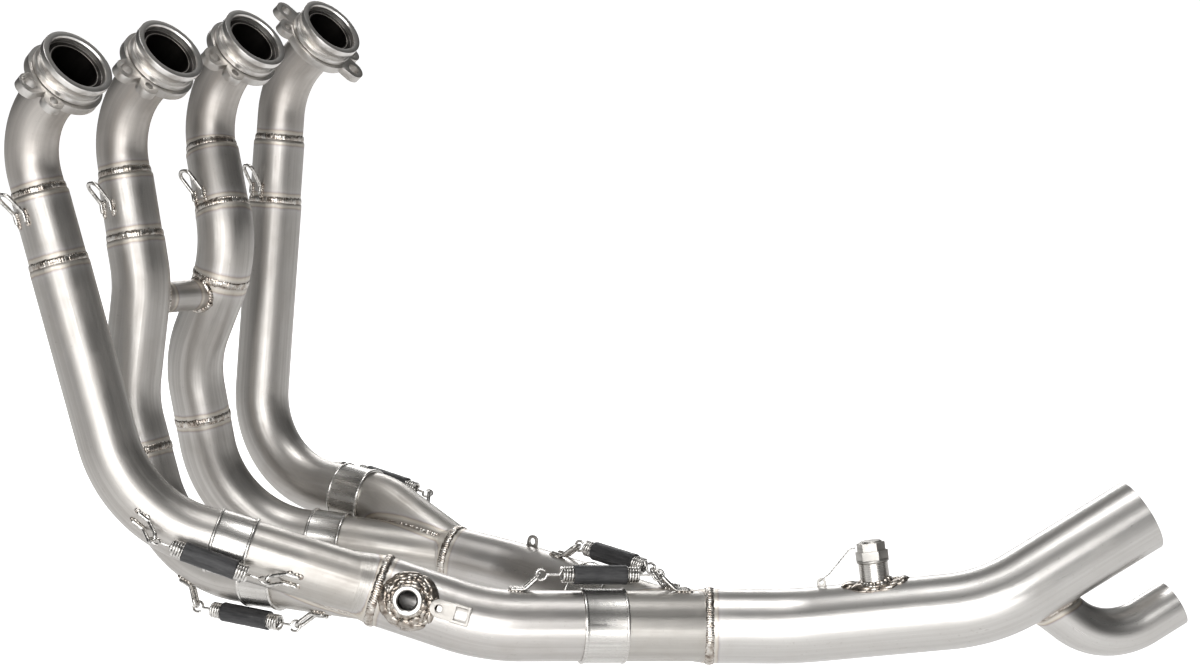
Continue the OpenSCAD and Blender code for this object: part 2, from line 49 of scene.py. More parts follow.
camera_data = bpy.data.cameras.new("camera")
camera_data.lens = LENS
camera_data.sensor_width = 36.0
camera = bpy.data.objects.new("camera", camera_data)
bpy.context.scene.collection.objects.link(camera)
turn = Matrix((CAMERA_RIGHT, CAMERA_UP, CAMERA_BACK)).transposed().to_4x4()
camera.matrix_world = Matrix.Translation(CAMERA_PLACE) @ turn
bpy.context.scene.camera = camera
bpy.context.scene.view_settings.view_transform = "Standard"

FLOOR_HEIGHT = -0.72
FLOOR_RADIUS = 14.0
floor_data = bpy.data.meshes.new("floor")
floor_ring = [(FLOOR_RADIUS * math.cos(t), FLOOR_RADIUS * math.sin(t), FLOOR_HEIGHT)
              for t in np.linspace(0, 2 * math.pi, 65)[:-1]]
floor_data.from_pydata(floor_ring, [], [list(range(64))])
floor = bpy.data.objects.new("floor", floor_data)
bpy.context.scene.collection.objects.link(floor)
floor_paint = bpy.data.materials.new("floor_paint")
floor_paint.use_nodes = True
floor_shader = floor_paint.node_tree.nodes["Principled BSDF"]
floor_shader.inputs["Base Color"].default_value = (0.93, 0.93, 0.93, 1)
floor_shader.inputs["Roughness"].default_value = 0.9
floor_shader.inputs["Emission Color"].default_value = (1, 1, 1, 1)
seen = floor_paint.node_tree.nodes.new("ShaderNodeLightPath")
glow = floor_paint.node_tree.nodes.new("ShaderNodeMapRange")
glow.inputs["To Min"].default_value = 0.30
glow.inputs["To Max"].default_value = 0.85
floor_paint.node_tree.links.new(seen.outputs["Is Camera Ray"], glow.inputs["Value"])
floor_paint.node_tree.links.new(glow.outputs[0], floor_shader.inputs["Emission Strength"])
floor_data.materials.append(floor_paint)

room = bpy.data.worlds.new("room")
bpy.context.scene.world = room
room.use_nodes = True
wall = room.node_tree
wall_light = wall.nodes["Background"]
look = wall.nodes.new("ShaderNodeTexCoord")
height = wall.nodes.new("ShaderNodeSeparateXYZ")
wall.links.new(look.outputs["Generated"], height.inputs[0])
by_height = wall.nodes.new("ShaderNodeValToRGB")
by_height.color_ramp.interpolation = "EASE"
for place, grey in ((0.0, 0.80), (0.25, 0.74), (0.62, 0.40), (0.86, 0.16), (1.0, 0.10)):
    if place in (0.0, 1.0):
        stop = by_height.color_ramp.elements[int(place)]
    else:
        stop = by_height.color_ramp.elements.new(place)
    stop.color = (grey, grey, grey * 0.99, 1)
wall.links.new(height.outputs["Z"], by_height.inputs[0])
side = wall.nodes.new("ShaderNodeVectorMath")
side.operation = "DOT_PRODUCT"
side.inputs[1].default_value = CAMERA_RIGHT
wall.links.new(look.outputs["Generated"], side.inputs[0])
both_sides = wall.nodes.new("ShaderNodeMath")
both_sides.operation = "ABSOLUTE"
wall.links.new(side.outputs["Value"], both_sides.inputs[0])
by_side = wall.nodes.new("ShaderNodeValToRGB")
by_side.color_ramp.interpolation = "EASE"
for n, (place, grey) in enumerate(((0.30, 1.0), (0.62, 0.30), (0.86, 0.42), (1.0, 0.85))):
    stop = by_side.color_ramp.elements[n] if n < 2 else by_side.color_ramp.elements.new(place)
    stop.position = place
    stop.color = (grey, grey, grey, 1)
wall.links.new(both_sides.outputs[0], by_side.inputs[0])
shade = wall.nodes.new("ShaderNodeMix")
shade.data_type = "RGBA"
shade.blend_type = "MULTIPLY"
shade.inputs["Factor"].default_value = 1.0
wall.links.new(by_height.outputs[0], shade.inputs["A"])
wall.links.new(by_side.outputs[0], shade.inputs["B"])
sight = wall.nodes.new("ShaderNodeLightPath")
backdrop = wall.nodes.new("ShaderNodeMix")
backdrop.data_type = "RGBA"
backdrop.inputs["B"].default_value = (1, 1, 1, 1)
wall.links.new(sight.outputs["Is Camera Ray"], backdrop.inputs["Factor"])
wall.links.new(shade.outputs["Result"], backdrop.inputs["A"])
wall.links.new(backdrop.outputs["Result"], wall_light.inputs["Color"])
wall_light.inputs["Strength"].default_value = 1.0


def soft_light(name, place, width, depth, power):
    """A soft light that faces the header."""
    data = bpy.data.lights.new(name, "AREA")
    data.shape = "RECTANGLE"
    data.size = width
    data.size_y = depth
    data.energy = power
    lamp = bpy.data.objects.new(name, data)
    lamp.location = place
    aim = SUBJECT - Vector(place)
    lamp.rotation_mode = "QUATERNION"
    lamp.rotation_quaternion = aim.to_track_quat("-Z", "Y")
    bpy.context.scene.collection.objects.link(lamp)


soft_light("front_light", (1.15, -2.35, 0.95), 2.6, 1.0, 44)
soft_light("low_light", (1.5, -2.0, -0.35), 2.0, 0.45, 15)
soft_light("back_light", (-1.7, 2.3, 0.7), 2.2, 0.7, 26)
soft_light("top_light", (0.3, 0.1, 2.6), 0.7, 0.7, 16)

# The four head bends. Each is a mandrel-bent stainless tube, 35 across, pushed into its turned
# port ring and welded there. The surface is brushed along the tube and dulled by handling.
MM = 0.001
PORT_AXIS = np.array((math.cos(math.radians(42.5)), 0.0, math.sin(math.radians(42.5))))
PORTS = [np.array((0.0, (n - 1.5) * 90.0, 0.0)) for n in range(4)]
HEAD_REACH = (70.9, 71.2, 68.5, 63.6)
NEAR_JUNCTION = (182, -64, -348)
FAR_JUNCTION = (150, 71, -370)
DOWN_CORNERS = (
    ((33, -146, -294), NEAR_JUNCTION),
    ((-21, -61, -160), (-25, -75, -241), (14, -83, -350), NEAR_JUNCTION),
    ((-4, 14, -151), (-40, 9, -230), (-22, 15, -356), FAR_JUNCTION),
    ((-39, 77, -333), (75, 82, -341), FAR_JUNCTION))
BEND_RADII = ((50, 90), (55, 80, 80, 80), (55, 68, 80, 80), (55, 70, 60))
STEP_START = (100, 100, 91, 98.5)
DOWN_START = (148.5, 144.5, 137, 145.5)
MIDDLE_START = 187
LOWER_START = (None, 294.5, 298, None)
SLIP_AT = (382, 436, 442.5, 418)
HEAD_R, STEP_R, DOWN_R = 17.5, 19.0, 20.0
WALL = 1.2
SWAGE = 3.6


def unit(v):
    v = np.asarray(v, float)
    return v / np.linalg.norm(v, axis=-1, keepdims=True)


class CentreLine:
    """One pipe's centre line in millimetres: straights, with a bend at each inner corner."""

    def __init__(self, corners, radii):
        corners = [np.asarray(c, float) for c in corners]
        path = [corners[0]]
        for here, before, after, radius in zip(corners[1:-1], corners, corners[2:], radii):
            along, away = unit(here - before), unit(after - here)
            angle = math.acos(min(1.0, float(along @ away)))
            if angle < 0.001:
                path.append(here)
                continue
            axis = unit(np.cross(along, away))
            out = np.cross(along, axis)
            centre = here - along * radius * math.tan(angle / 2) - out * radius
            for t in np.linspace(0, angle, int(radius * angle / 0.25) + 2):
                path.append(centre + (out * math.cos(t) + along * math.sin(t)) * radius)
        path.append(corners[-1])
        path = np.array(path)
        run = np.r_[0, np.cumsum(np.linalg.norm(np.diff(path, axis=0), axis=1))]
        self.length = run[-1]
        self.s = np.linspace(0, self.length, int(self.length / 0.25) + 1)
        self.p = np.stack([np.interp(self.s, run, path[:, k]) for k in range(3)], 1)
        self.d = unit(np.gradient(self.p, axis=0))
        first = np.array((0.0, 0.0, 1.0)) if abs(self.d[0][2]) < 0.9 else np.array((1.0, 0.0, 0.0))
        sides = [unit(first - self.d[0] * (first @ self.d[0]))]
        for d in self.d[1:]:
            sides.append(unit(sides[-1] - d * (sides[-1] @ d)))
        self.x = np.array(sides)
        self.y = np.cross(self.d, self.x)

    def at(self, s):
        """Point, direction and the two sides at stations s."""
        s = np.atleast_1d(np.asarray(s, float))
        mix = [np.stack([np.interp(s, self.s, a[:, k]) for k in range(3)], 1)
               for a in (self.p, self.d, self.x)]
        return mix[0], unit(mix[1]), unit(mix[2]), np.cross(unit(mix[1]), unit(mix[2]))

    def near(self, q):
        """For points q: distance from the line, station, and the offsets along both sides."""
        found = []
        for part in np.array_split(np.asarray(q, float), max(1, len(q) // 400)):
            coarse = np.argmin(((part[:, None] - self.p[None, ::8]) ** 2).sum(2), 1) * 8
            tries = np.clip(coarse[:, None] + np.arange(-8, 9), 0, len(self.s) - 1)
            gap = ((part[:, None] - self.p[tries]) ** 2).sum(2)
            best = tries[np.arange(len(part)), np.argmin(gap, 1)]
            away = part - self.p[best]
            over = (away * self.d[best]).sum(1)
            flat = away - self.d[best] * over[:, None]
            beyond = np.where((best == 0) | (best == len(self.s) - 1), over, 0)
            found.append(np.c_[np.hypot(np.linalg.norm(flat, axis=1), beyond),
                               self.s[best] + over,
                               (away * self.x[best]).sum(1), (away * self.y[best]).sum(1)])
        return np.concatenate(found).T


HEADS = [CentreLine([PORTS[n] - PORT_AXIS * 5, PORTS[n] - PORT_AXIS * HEAD_REACH[n], *DOWN_CORNERS[n]],
                    BEND_RADII[n]) for n in range(4)]


def set_data(mesh, name, kind, values):
    """Stores a value for each point of a mesh, for its material to read."""
    data = mesh.attributes.get(name) or mesh.attributes.new(name, kind, "POINT")
    data.data.foreach_set("vector" if kind == "FLOAT_VECTOR" else "value",
                          np.asarray(values, np.float32).ravel())


def make_mesh(name, points, faces, place=None, seam=None, crease=35):
    """An object from points in millimetres, smooth but for edges sharper than the crease."""
    mesh = bpy.data.meshes.new(name)
    mesh.from_pydata((np.asarray(points) * MM).tolist(), [], faces)
    mesh.shade_smooth()
    mesh.set_sharp_from_angle(angle=math.radians(crease))
    if place is not None:
        set_data(mesh, "place", "FLOAT_VECTOR", np.asarray(place) * MM)
        set_data(mesh, "seam", "FLOAT", np.asarray(seam) * MM)
    thing = bpy.data.objects.new(name, mesh)
    bpy.context.scene.collection.objects.link(thing)
    return thing


def skin_faces(rows, around, closed_rows):
    """Quads over rows of points, wound so that they face outwards."""
    faces = []
    last = rows if closed_rows else rows - 1
    for i in range(last):
        a, b = i * around, (i + 1) % rows * around
        faces += [(a + j, a + (j + 1) % around, b + (j + 1) % around, b + j) for j in range(around)]
    return faces


def tube(name, line, start, stop, radius, welds, around=72, step=2.4, extra=()):
    """A bent tube with its wall and its rims, from one station to another."""
    s = np.union1d(np.linspace(start, stop, max(3, int((stop - start) / step) + 1)),
                   [v for v in extra if start < v < stop])
    outer = np.broadcast_to(radius(s) if callable(radius) else float(radius), s.shape)
    p, d, x, y = line.at(s)
    t = np.linspace(0, 2 * math.pi, around + 1)[:-1]
    rows, place, seam = [], [], []
    edge = 0.25
    for order, r, shift in ((range(len(s)), outer, 1), (range(len(s) - 1, -1, -1), outer - WALL, 0)):
        for i in order:
            r_here = r[i] - (edge if shift and i in (0, len(s) - 1) else 0)
            ring = np.outer(np.cos(t), x[i]) + np.outer(np.sin(t), y[i])
            rows.append(p[i] + ring * r_here)
            place.append(np.c_[r_here * np.cos(t), r_here * np.sin(t), np.full(around, s[i])])
            seam.append(np.full(around, min(abs(s[i] - w) for w in welds)))
            if shift and i == 0:
                rows.append(p[i] + d[i] * edge + ring * r[i])
                place.append(place[-1])
                seam.append(seam[-1])
            elif shift and i == len(s) - 1:
                rows.insert(-1, p[i] - d[i] * edge + ring * r[i])
                place.append(place[-1])
                seam.append(seam[-1])
    faces = skin_faces(len(rows), around, True)
    return make_mesh(name, np.concatenate(rows), faces, np.concatenate(place), np.concatenate(seam))


def new_group(name, wanted, given):
    """An empty shader group with named sockets."""
    group = bpy.data.node_groups.new(name, "ShaderNodeTree")
    for socket, kind, value in wanted:
        item = group.interface.new_socket(name=socket, in_out="INPUT", socket_type="NodeSocket" + kind)
        if value is not None:
            item.default_value = value
    for socket, kind in given:
        group.interface.new_socket(name=socket, in_out="OUTPUT", socket_type="NodeSocket" + kind)
    return group, group.nodes.new("NodeGroupInput"), group.nodes.new("NodeGroupOutput")


def put(tree, kind, links=(), **values):
    """A node with its properties, and its inputs either set or linked."""
    node = tree.nodes.new("ShaderNode" + kind)
    for key, value in values.items():
        setattr(node, key, value)
    for socket, value in links:
        if isinstance(value, bpy.types.NodeSocket):
            tree.links.new(value, node.inputs[socket])
        else:
            node.inputs[socket].default_value = value
    return node


def ramp(tree, factor, stops):
    """A colour ramp with its stops, as (place, (r, g, b)) or (place, grey)."""
    node = tree.nodes.new("ShaderNodeValToRGB")
    for n, (place, colour) in enumerate(stops):
        stop = node.color_ramp.elements[n] if n < 2 else node.color_ramp.elements.new(place)
        stop.position = place
        colour = (colour,) * 3 if isinstance(colour, (int, float)) else colour
        stop.color = (*colour, 1)
    tree.links.new(factor, node.inputs[0])
    return node.outputs[0]


def mixed(tree, factor, a, b):
    """Two colours mixed."""
    node = tree.nodes.new("ShaderNodeMix")
    node.data_type = "RGBA"
    for socket, value in (("Factor", factor), ("A", a), ("B", b)):
        if isinstance(value, bpy.types.NodeSocket):
            tree.links.new(value, node.inputs[socket])
        else:
            node.inputs[socket].default_value = value
    return node.outputs["Result"]


def worked(tree, operation, a, b=0.0, c=0.0):
    """The result of one sum."""
    node = tree.nodes.new("ShaderNodeMath")
    node.operation = operation
    for n, value in enumerate((a, b, c)):
        if isinstance(value, bpy.types.NodeSocket):
            tree.links.new(value, node.inputs[n])
        else:
            node.inputs[n].default_value = value
    return node.outputs[0]


# Brushed steel as a pattern: Place runs across the tube in x and y and along it in z.
brushed, taken, out = new_group(
    "brushed_steel",
    (("Place", "Vector", None), ("Seam", "Float", 1.0), ("Steel", "Color", (0.6, 0.58, 0.56, 1)),
     ("Heat", "Float", 0.6), ("Streaks", "Float", 0.5), ("Stains", "Float", 0.5),
     ("Polish", "Float", 0.25), ("Soot", "Float", 0.0)),
    (("Color", "Color"), ("Roughness", "Float"), ("Height", "Float")))
drawn = put(brushed, "Mapping", (("Vector", taken.outputs["Place"]), ("Scale", (420, 420, 7))))
streak = put(brushed, "TexNoise", (("Vector", drawn.outputs[0]), ("Scale", 1.0), ("Detail", 4.0),
                                   ("Roughness", 0.62)))
fine = put(brushed, "Mapping", (("Vector", taken.outputs["Place"]), ("Scale", (2600, 2600, 90))))
grain = put(brushed, "TexNoise", (("Vector", fine.outputs[0]), ("Scale", 1.0), ("Detail", 2.0)))
broad = put(brushed, "Mapping", (("Vector", taken.outputs["Place"]), ("Scale", (95, 95, 14))))
patch = put(brushed, "TexNoise", (("Vector", broad.outputs[0]), ("Scale", 1.0), ("Detail", 5.0),
                                  ("Roughness", 0.55)))
cloud = put(brushed, "TexNoise", (("Vector", taken.outputs["Place"]), ("Scale", 34.0), ("Detail", 6.0),
                                  ("Roughness", 0.6), ("Distortion", 0.4)))
speck = put(brushed, "TexNoise", (("Vector", taken.outputs["Place"]), ("Scale", 520.0), ("Detail", 3.0)))
stained = worked(brushed, "MULTIPLY", ramp(brushed, cloud.outputs[0], ((0.46, 0.0), (0.70, 1.0))),
                 taken.outputs["Stains"])
streaked = worked(brushed, "MULTIPLY", ramp(brushed, streak.outputs[0], ((0.40, 1.0), (0.62, 0.0))),
                  taken.outputs["Streaks"])
dulled = mixed(brushed, worked(brushed, "MULTIPLY", streaked, 0.46), taken.outputs["Steel"],
               (0.36, 0.34, 0.32, 1))
dulled = mixed(brushed, worked(brushed, "MULTIPLY", stained, 0.42), dulled, (0.38, 0.345, 0.31, 1))
specked = worked(brushed, "MULTIPLY", ramp(brushed, speck.outputs[0], ((0.66, 0.0), (0.74, 1.0))), 0.30)
dulled = mixed(brushed, specked, dulled, (0.25, 0.22, 0.20, 1))
wander = worked(brushed, "MULTIPLY_ADD", patch.outputs[0], 0.0022, -0.0011)
reach = worked(brushed, "ADD", taken.outputs["Seam"], wander)
reach = worked(brushed, "MULTIPLY", reach, 50.0)
tint = ramp(brushed, reach, (
    (0.0, (0.36, 0.31, 0.27)), (0.10, (0.40, 0.36, 0.32)), (0.17, (0.66, 0.62, 0.56)),
    (0.235, (0.62, 0.56, 0.47)), (0.275, (0.36, 0.29, 0.24)), (0.31, (0.44, 0.41, 0.43)),
    (0.37, (0.60, 0.585, 0.57)), (0.55, (0.62, 0.60, 0.58))))
felt = ramp(brushed, reach, ((0.0, 1.0), (0.30, 0.85), (0.42, 0.25), (0.62, 0.0)))
heated = mixed(brushed, worked(brushed, "MULTIPLY", felt, taken.outputs["Heat"]), dulled, tint)
# Painted shade: points nearer the axis than the Soot radius, the tube's inside wall, are painted near black
# where shade falls in the bore.
across = put(brushed, "VectorMath", ((0, taken.outputs["Place"]), (1, (1, 1, 0))), operation="MULTIPLY")
across = put(brushed, "VectorMath", ((0, across.outputs[0]),), operation="LENGTH")
in_bore_shade = worked(brushed, "LESS_THAN", across.outputs["Value"], taken.outputs["Soot"])
heated = mixed(brushed, in_bore_shade, heated, (0.035, 0.031, 0.028, 1))
brushed.links.new(heated, out.inputs["Color"])
rough = worked(brushed, "MULTIPLY_ADD", streaked, 0.10, taken.outputs["Polish"])
rough = worked(brushed, "MULTIPLY_ADD", stained, 0.16, rough)
rough = worked(brushed, "MULTIPLY_ADD", felt, 0.06, rough)
rough = worked(brushed, "MULTIPLY_ADD", grain.outputs[0], 0.06, rough)
brushed.links.new(rough, out.inputs["Roughness"])
raised = worked(brushed, "MULTIPLY", streak.outputs[0], 0.10)
raised = worked(brushed, "MULTIPLY_ADD", grain.outputs[0], 0.035, raised)
raised = worked(brushed, "MULTIPLY_ADD", patch.outputs[0], 0.55, raised)
raised = worked(brushed, "MULTIPLY_ADD", cloud.outputs[0], 0.9, raised)
brushed.links.new(raised, out.inputs["Height"])


def steel_finish(name, place="place", seam="seam", turn=(0, 0, 0), bump=0.5, **look):
    """A steel material from the brushed pattern. Without data on the mesh it reads Object space."""
    material = bpy.data.materials.new(name)
    material.use_nodes = True
    tree = material.node_tree
    shader = tree.nodes["Principled BSDF"]
    group = tree.nodes.new("ShaderNodeGroup")
    group.node_tree = brushed
    if place:
        data = put(tree, "Attribute", attribute_name=place)
        tree.links.new(data.outputs["Vector"], group.inputs["Place"])
    else:
        where = tree.nodes.new("ShaderNodeTexCoord")
        level = put(tree, "Mapping", (("Vector", where.outputs["Object"]), ("Rotation", turn)),
                    vector_type="TEXTURE")
        tree.links.new(level.outputs[0], group.inputs["Place"])
    if seam:
        data = put(tree, "Attribute", attribute_name=seam)
        tree.links.new(data.outputs["Fac"], group.inputs["Seam"])
    for key, value in look.items():
        group.inputs[key].default_value = value
    shader.inputs["Metallic"].default_value = 1.0
    tree.links.new(group.outputs["Color"], shader.inputs["Base Color"])
    tree.links.new(group.outputs["Roughness"], shader.inputs["Roughness"])
    bumped = put(tree, "Bump", (("Height", group.outputs["Height"]), ("Strength", bump),
                                ("Distance", 0.0006)))
    tree.links.new(bumped.outputs[0], shader.inputs["Normal"])
    return material


# The inside wall of each head bend is painted near black as shade down the bore.
head_steel = steel_finish("head_steel", Steel=(0.49, 0.46, 0.43, 1), Heat=0.75, Streaks=0.7,
                          Stains=0.75, Polish=0.33, Soot=0.0168, bump=0.42)


def settle(piece, nodes, material, body="header"):
    """Gives a piece its material, its body and the solids that it stands for."""
    piece.data.materials.clear()
    piece.data.materials.append(material)
    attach(piece, body)
    for node in ([nodes] if isinstance(nodes, str) else nodes):
        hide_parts(node)
    return piece


HEAD_WELDS = [[10, STEP_START[n], DOWN_START[n]] for n in range(4)]
HEAD_WELDS[1] += [LOWER_START[1]]
HEAD_WELDS[2] += [MIDDLE_START, LOWER_START[2]]
for n, line in enumerate(HEADS):
    bend = tube(f"head_bend_{n + 1}_steel", line, 0, STEP_START[n], HEAD_R, HEAD_WELDS[n])
    settle(bend, f"head_bend_{n + 1}", head_steel)

# The step tubes and down tubes. Each is a straight or bent length a size larger than the one
# before it, its end drawn in to meet it and welded all round. The fit is a butt, not a sleeve.


def swaged(start, r0, r1):
    """Radius of a tube whose first few millimetres are drawn in to the size before it."""
    def radius(s):
        part = np.clip((s - start) / SWAGE, 0, 1)
        return r0 + 0.15 + (r1 - r0 - 0.15) * part * part * (3 - 2 * part)
    return radius


SLIP_FRONT = 0.5
down_steel = steel_finish("down_steel", Steel=(0.51, 0.49, 0.465, 1), Heat=0.75, Streaks=0.9,
                          Stains=0.6, Polish=0.31, bump=0.40)
for n, line in enumerate(HEADS):
    a, b, c = STEP_START[n], DOWN_START[n], SLIP_AT[n] - SLIP_FRONT
    ends = {1: LOWER_START[1], 2: MIDDLE_START}
    runs = [(f"step_tube_{n + 1}", a, b, swaged(a, HEAD_R, STEP_R)),
            (f"down_tube_{n + 1}", b, ends.get(n, c), swaged(b, STEP_R, DOWN_R))]
    if n == 2:
        runs.append(("middle_tube_3", MIDDLE_START, LOWER_START[2], DOWN_R))
    if n in (1, 2):
        runs.append((f"lower_bend_{n + 1}", LOWER_START[n], c, DOWN_R))
    for node, start, stop, radius in runs:
        close = start + np.linspace(0, SWAGE, 9) if callable(radius) else ()
        piece = tube(node + "_steel", line, start, stop, radius, HEAD_WELDS[n], extra=close)
        settle(piece, node, down_steel)

# The weld beads. Each joint is run round by hand with filler rod, and the bead shows the row of
# overlapping ripples that this leaves, bright on top and browned at its feet.
bead_tree = bpy.data.node_groups.new("weld_ripples", "GeometryNodeTree")
for socket, kind in (("Geometry", "Geometry"), ("Pitch", "Float"), ("Length", "Float"),
                     ("Width", "Float"), ("Height", "Float"), ("Uneven", "Float"),
                     ("Seed", "Int"), ("Steel", "Material")):
    bead_tree.interface.new_socket(name=socket, in_out="INPUT", socket_type="NodeSocket" + kind)
bead_tree.interface.new_socket(name="Geometry", in_out="OUTPUT", socket_type="NodeSocketGeometry")


def tied(tree, kind, links=(), **values):
    """A node of a geometry tree, its inputs set or linked."""
    node = tree.nodes.new(kind)
    for key, value in values.items():
        setattr(node, key, value)
    for socket, value in links:
        if isinstance(value, bpy.types.NodeSocket):
            tree.links.new(value, node.inputs[socket])
        else:
            node.inputs[socket].default_value = value
    return node


given = bead_tree.nodes.new("NodeGroupInput")
left = bead_tree.nodes.new("NodeGroupOutput")
to_curve = tied(bead_tree, "GeometryNodeMeshToCurve", (("Mesh", given.outputs["Geometry"]),))
spaced = tied(bead_tree, "GeometryNodeResampleCurve", (("Curve", to_curve.outputs[0]),
                                                       ("Length", given.outputs["Pitch"])), mode="LENGTH")
ripple = tied(bead_tree, "GeometryNodeMeshUVSphere", (("Segments", 10), ("Rings", 6), ("Radius", 1.0)))
outward = tied(bead_tree, "GeometryNodeInputNamedAttribute", (("Name", "out"),), data_type="FLOAT_VECTOR")
stood = tied(bead_tree, "FunctionNodeAlignRotationToVector", (("Vector", outward.outputs[0]),), axis="Z")
tangent = tied(bead_tree, "GeometryNodeInputTangent")
faced = tied(bead_tree, "FunctionNodeAlignRotationToVector",
             (("Rotation", stood.outputs[0]), ("Vector", tangent.outputs[0])), axis="X", pivot_axis="Z")
low = tied(bead_tree, "ShaderNodeMath", ((0, 1.0), (1, given.outputs["Uneven"])), operation="SUBTRACT")
high = tied(bead_tree, "ShaderNodeMath", ((0, 1.0), (1, given.outputs["Uneven"])), operation="ADD")
sizes = []
for n, socket in enumerate(("Length", "Width", "Height")):
    chance = tied(bead_tree, "FunctionNodeRandomValue", data_type="FLOAT")
    bead_tree.links.new(low.outputs[0], chance.inputs[2])
    bead_tree.links.new(high.outputs[0], chance.inputs[3])
    seeded = tied(bead_tree, "ShaderNodeMath", ((0, given.outputs["Seed"]), (1, float(n))), operation="ADD")
    bead_tree.links.new(seeded.outputs[0], chance.inputs["Seed"])
    size = tied(bead_tree, "ShaderNodeMath", ((0, given.outputs[socket]), (1, chance.outputs[1])),
                operation="MULTIPLY")
    sizes.append(size)
scaled = tied(bead_tree, "ShaderNodeCombineXYZ",
              ((0, sizes[0].outputs[0]), (1, sizes[1].outputs[0]), (2, sizes[2].outputs[0])))
row = tied(bead_tree, "GeometryNodeInstanceOnPoints",
           (("Points", spaced.outputs[0]), ("Instance", ripple.outputs["Mesh"]),
            ("Rotation", faced.outputs[0]), ("Scale", scaled.outputs[0])))
real = tied(bead_tree, "GeometryNodeRealizeInstances", (("Geometry", row.outputs[0]),))
smooth = tied(bead_tree, "GeometryNodeSetShadeSmooth", (("Geometry", real.outputs[0]),))
coated = tied(bead_tree, "GeometryNodeSetMaterial", (("Geometry", smooth.outputs[0]),
                                                     ("Material", given.outputs["Steel"])))
bead_tree.links.new(coated.outputs[0], left.inputs[0])

weld_steel = bpy.data.materials.new("weld_steel")
weld_steel.use_nodes = True
tree = weld_steel.node_tree
where = tree.nodes.new("ShaderNodeTexCoord")
tone = put(tree, "TexNoise", (("Vector", where.outputs["Object"]), ("Scale", 260.0), ("Detail", 5.0)))
colour = ramp(tree, tone.outputs[0], ((0.30, (0.20, 0.165, 0.14)), (0.46, (0.42, 0.375, 0.33)),
                                      (0.60, (0.60, 0.57, 0.53)), (0.75, (0.68, 0.66, 0.63))))
tree.links.new(colour, tree.nodes["Principled BSDF"].inputs["Base Color"])
tree.links.new(worked(tree, "MULTIPLY_ADD", tone.outputs[0], 0.25, 0.12),
               tree.nodes["Principled BSDF"].inputs["Roughness"])
tree.nodes["Principled BSDF"].inputs["Metallic"].default_value = 1.0
pitted = put(tree, "Bump", (("Height", tone.outputs[0]), ("Strength", 0.4), ("Distance", 0.0004)))
tree.links.new(pitted.outputs[0], tree.nodes["Principled BSDF"].inputs["Normal"])


def beads(name, paths, pitch, width, height, uneven=0.10, seed=1, material=weld_steel):
    """Weld beads along paths of (points, outward directions, closed), as one mesh."""
    points, edges, outs = [], [], []
    for path, normals, closed in paths:
        base = len(points)
        points += (np.asarray(path) * MM).tolist()
        outs += np.asarray(normals).tolist()
        count = len(path)
        edges += [(base + k, base + k + 1) for k in range(count - 1)]
        if closed:
            edges.append((base + count - 1, base))
    mesh = bpy.data.meshes.new(name + "_path")
    mesh.from_pydata(points, edges, [])
    set_data(mesh, "out", "FLOAT_VECTOR", outs)
    guide = bpy.data.objects.new(name + "_path", mesh)
    bpy.context.scene.collection.objects.link(guide)
    maker = guide.modifiers.new("ripples", "NODES")
    maker.node_group = bead_tree
    wanted = {"Pitch": pitch * MM, "Length": pitch * 1.25 * MM, "Width": width / 2 * MM,
              "Height": height * MM, "Uneven": uneven, "Seed": seed, "Steel": material}
    for item in bead_tree.interface.items_tree:
        if item.in_out == "INPUT" and item.name in wanted:
            maker[item.identifier] = wanted[item.name]
    made = bpy.data.meshes.new_from_object(guide.evaluated_get(bpy.context.evaluated_depsgraph_get()))
    made.name = name
    bpy.data.objects.remove(guide)
    thing = bpy.data.objects.new(name, made)
    bpy.context.scene.collection.objects.link(thing)
    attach(thing, "header")
    return thing


def ring_path(line, station, radius, count=120):
    """A weld path round a tube."""
    p, d, x, y = line.at([station])
    t = np.linspace(0, 2 * math.pi, count + 1)[:-1]
    away = np.outer(np.cos(t), x[0]) + np.outer(np.sin(t), y[0])
    return p[0] + away * radius, away, True


for n, line in enumerate(HEADS):
    paths = [ring_path(line, STEP_START[n], HEAD_R), ring_path(line, DOWN_START[n], STEP_R)]
    if n == 1:
        paths.append(ring_path(line, LOWER_START[1], DOWN_R - 0.2))
    if n == 2:
        paths += [ring_path(line, MIDDLE_START, DOWN_R - 0.2), ring_path(line, LOWER_START[2], DOWN_R - 0.2)]
    beads(f"head_welds_{n + 1}", paths, 1.9, 5.6, 0.8, uneven=0.16, seed=n + 3)
    beads(f"port_weld_{n + 1}", [ring_path(line, 10.6, HEAD_R)], 1.6, 3.0, 1.1, seed=n + 9)

# The port rings. Each is turned from bar: a wide open face with a bevelled bore, a waist and a
# collar for the loose flange to push on. The head bend ends inside it, and painted shade darkens the bore.


def turned(name, origin, axis, side, profile, around=128, crease=25, closed=True):
    """A turned piece from a profile of (radius, height) that runs up its outside and down inside."""
    z = unit(axis)
    x = unit(np.asarray(side, float) - z * (np.asarray(side, float) @ z))
    y = np.cross(z, x)
    t = np.linspace(0, 2 * math.pi, around + 1)[:-1]
    rows = [np.asarray(origin, float) + z * h + r * (np.outer(np.cos(t), x) + np.outer(np.sin(t), y))
            for r, h in profile]
    place = [np.c_[r * np.cos(t), r * np.sin(t), np.full(around, h)] for r, h in profile]
    faces = skin_faces(len(profile), around, closed)
    points, place = np.concatenate(rows), np.concatenate(place)
    if not closed:
        faces += [tuple(range(around - 1, -1, -1)), tuple(len(points) - around + k for k in range(around))]
    return make_mesh(name, points, faces, place, np.full(len(points), 90.0), crease)


BORE_SHADE_SPAN = 0.03


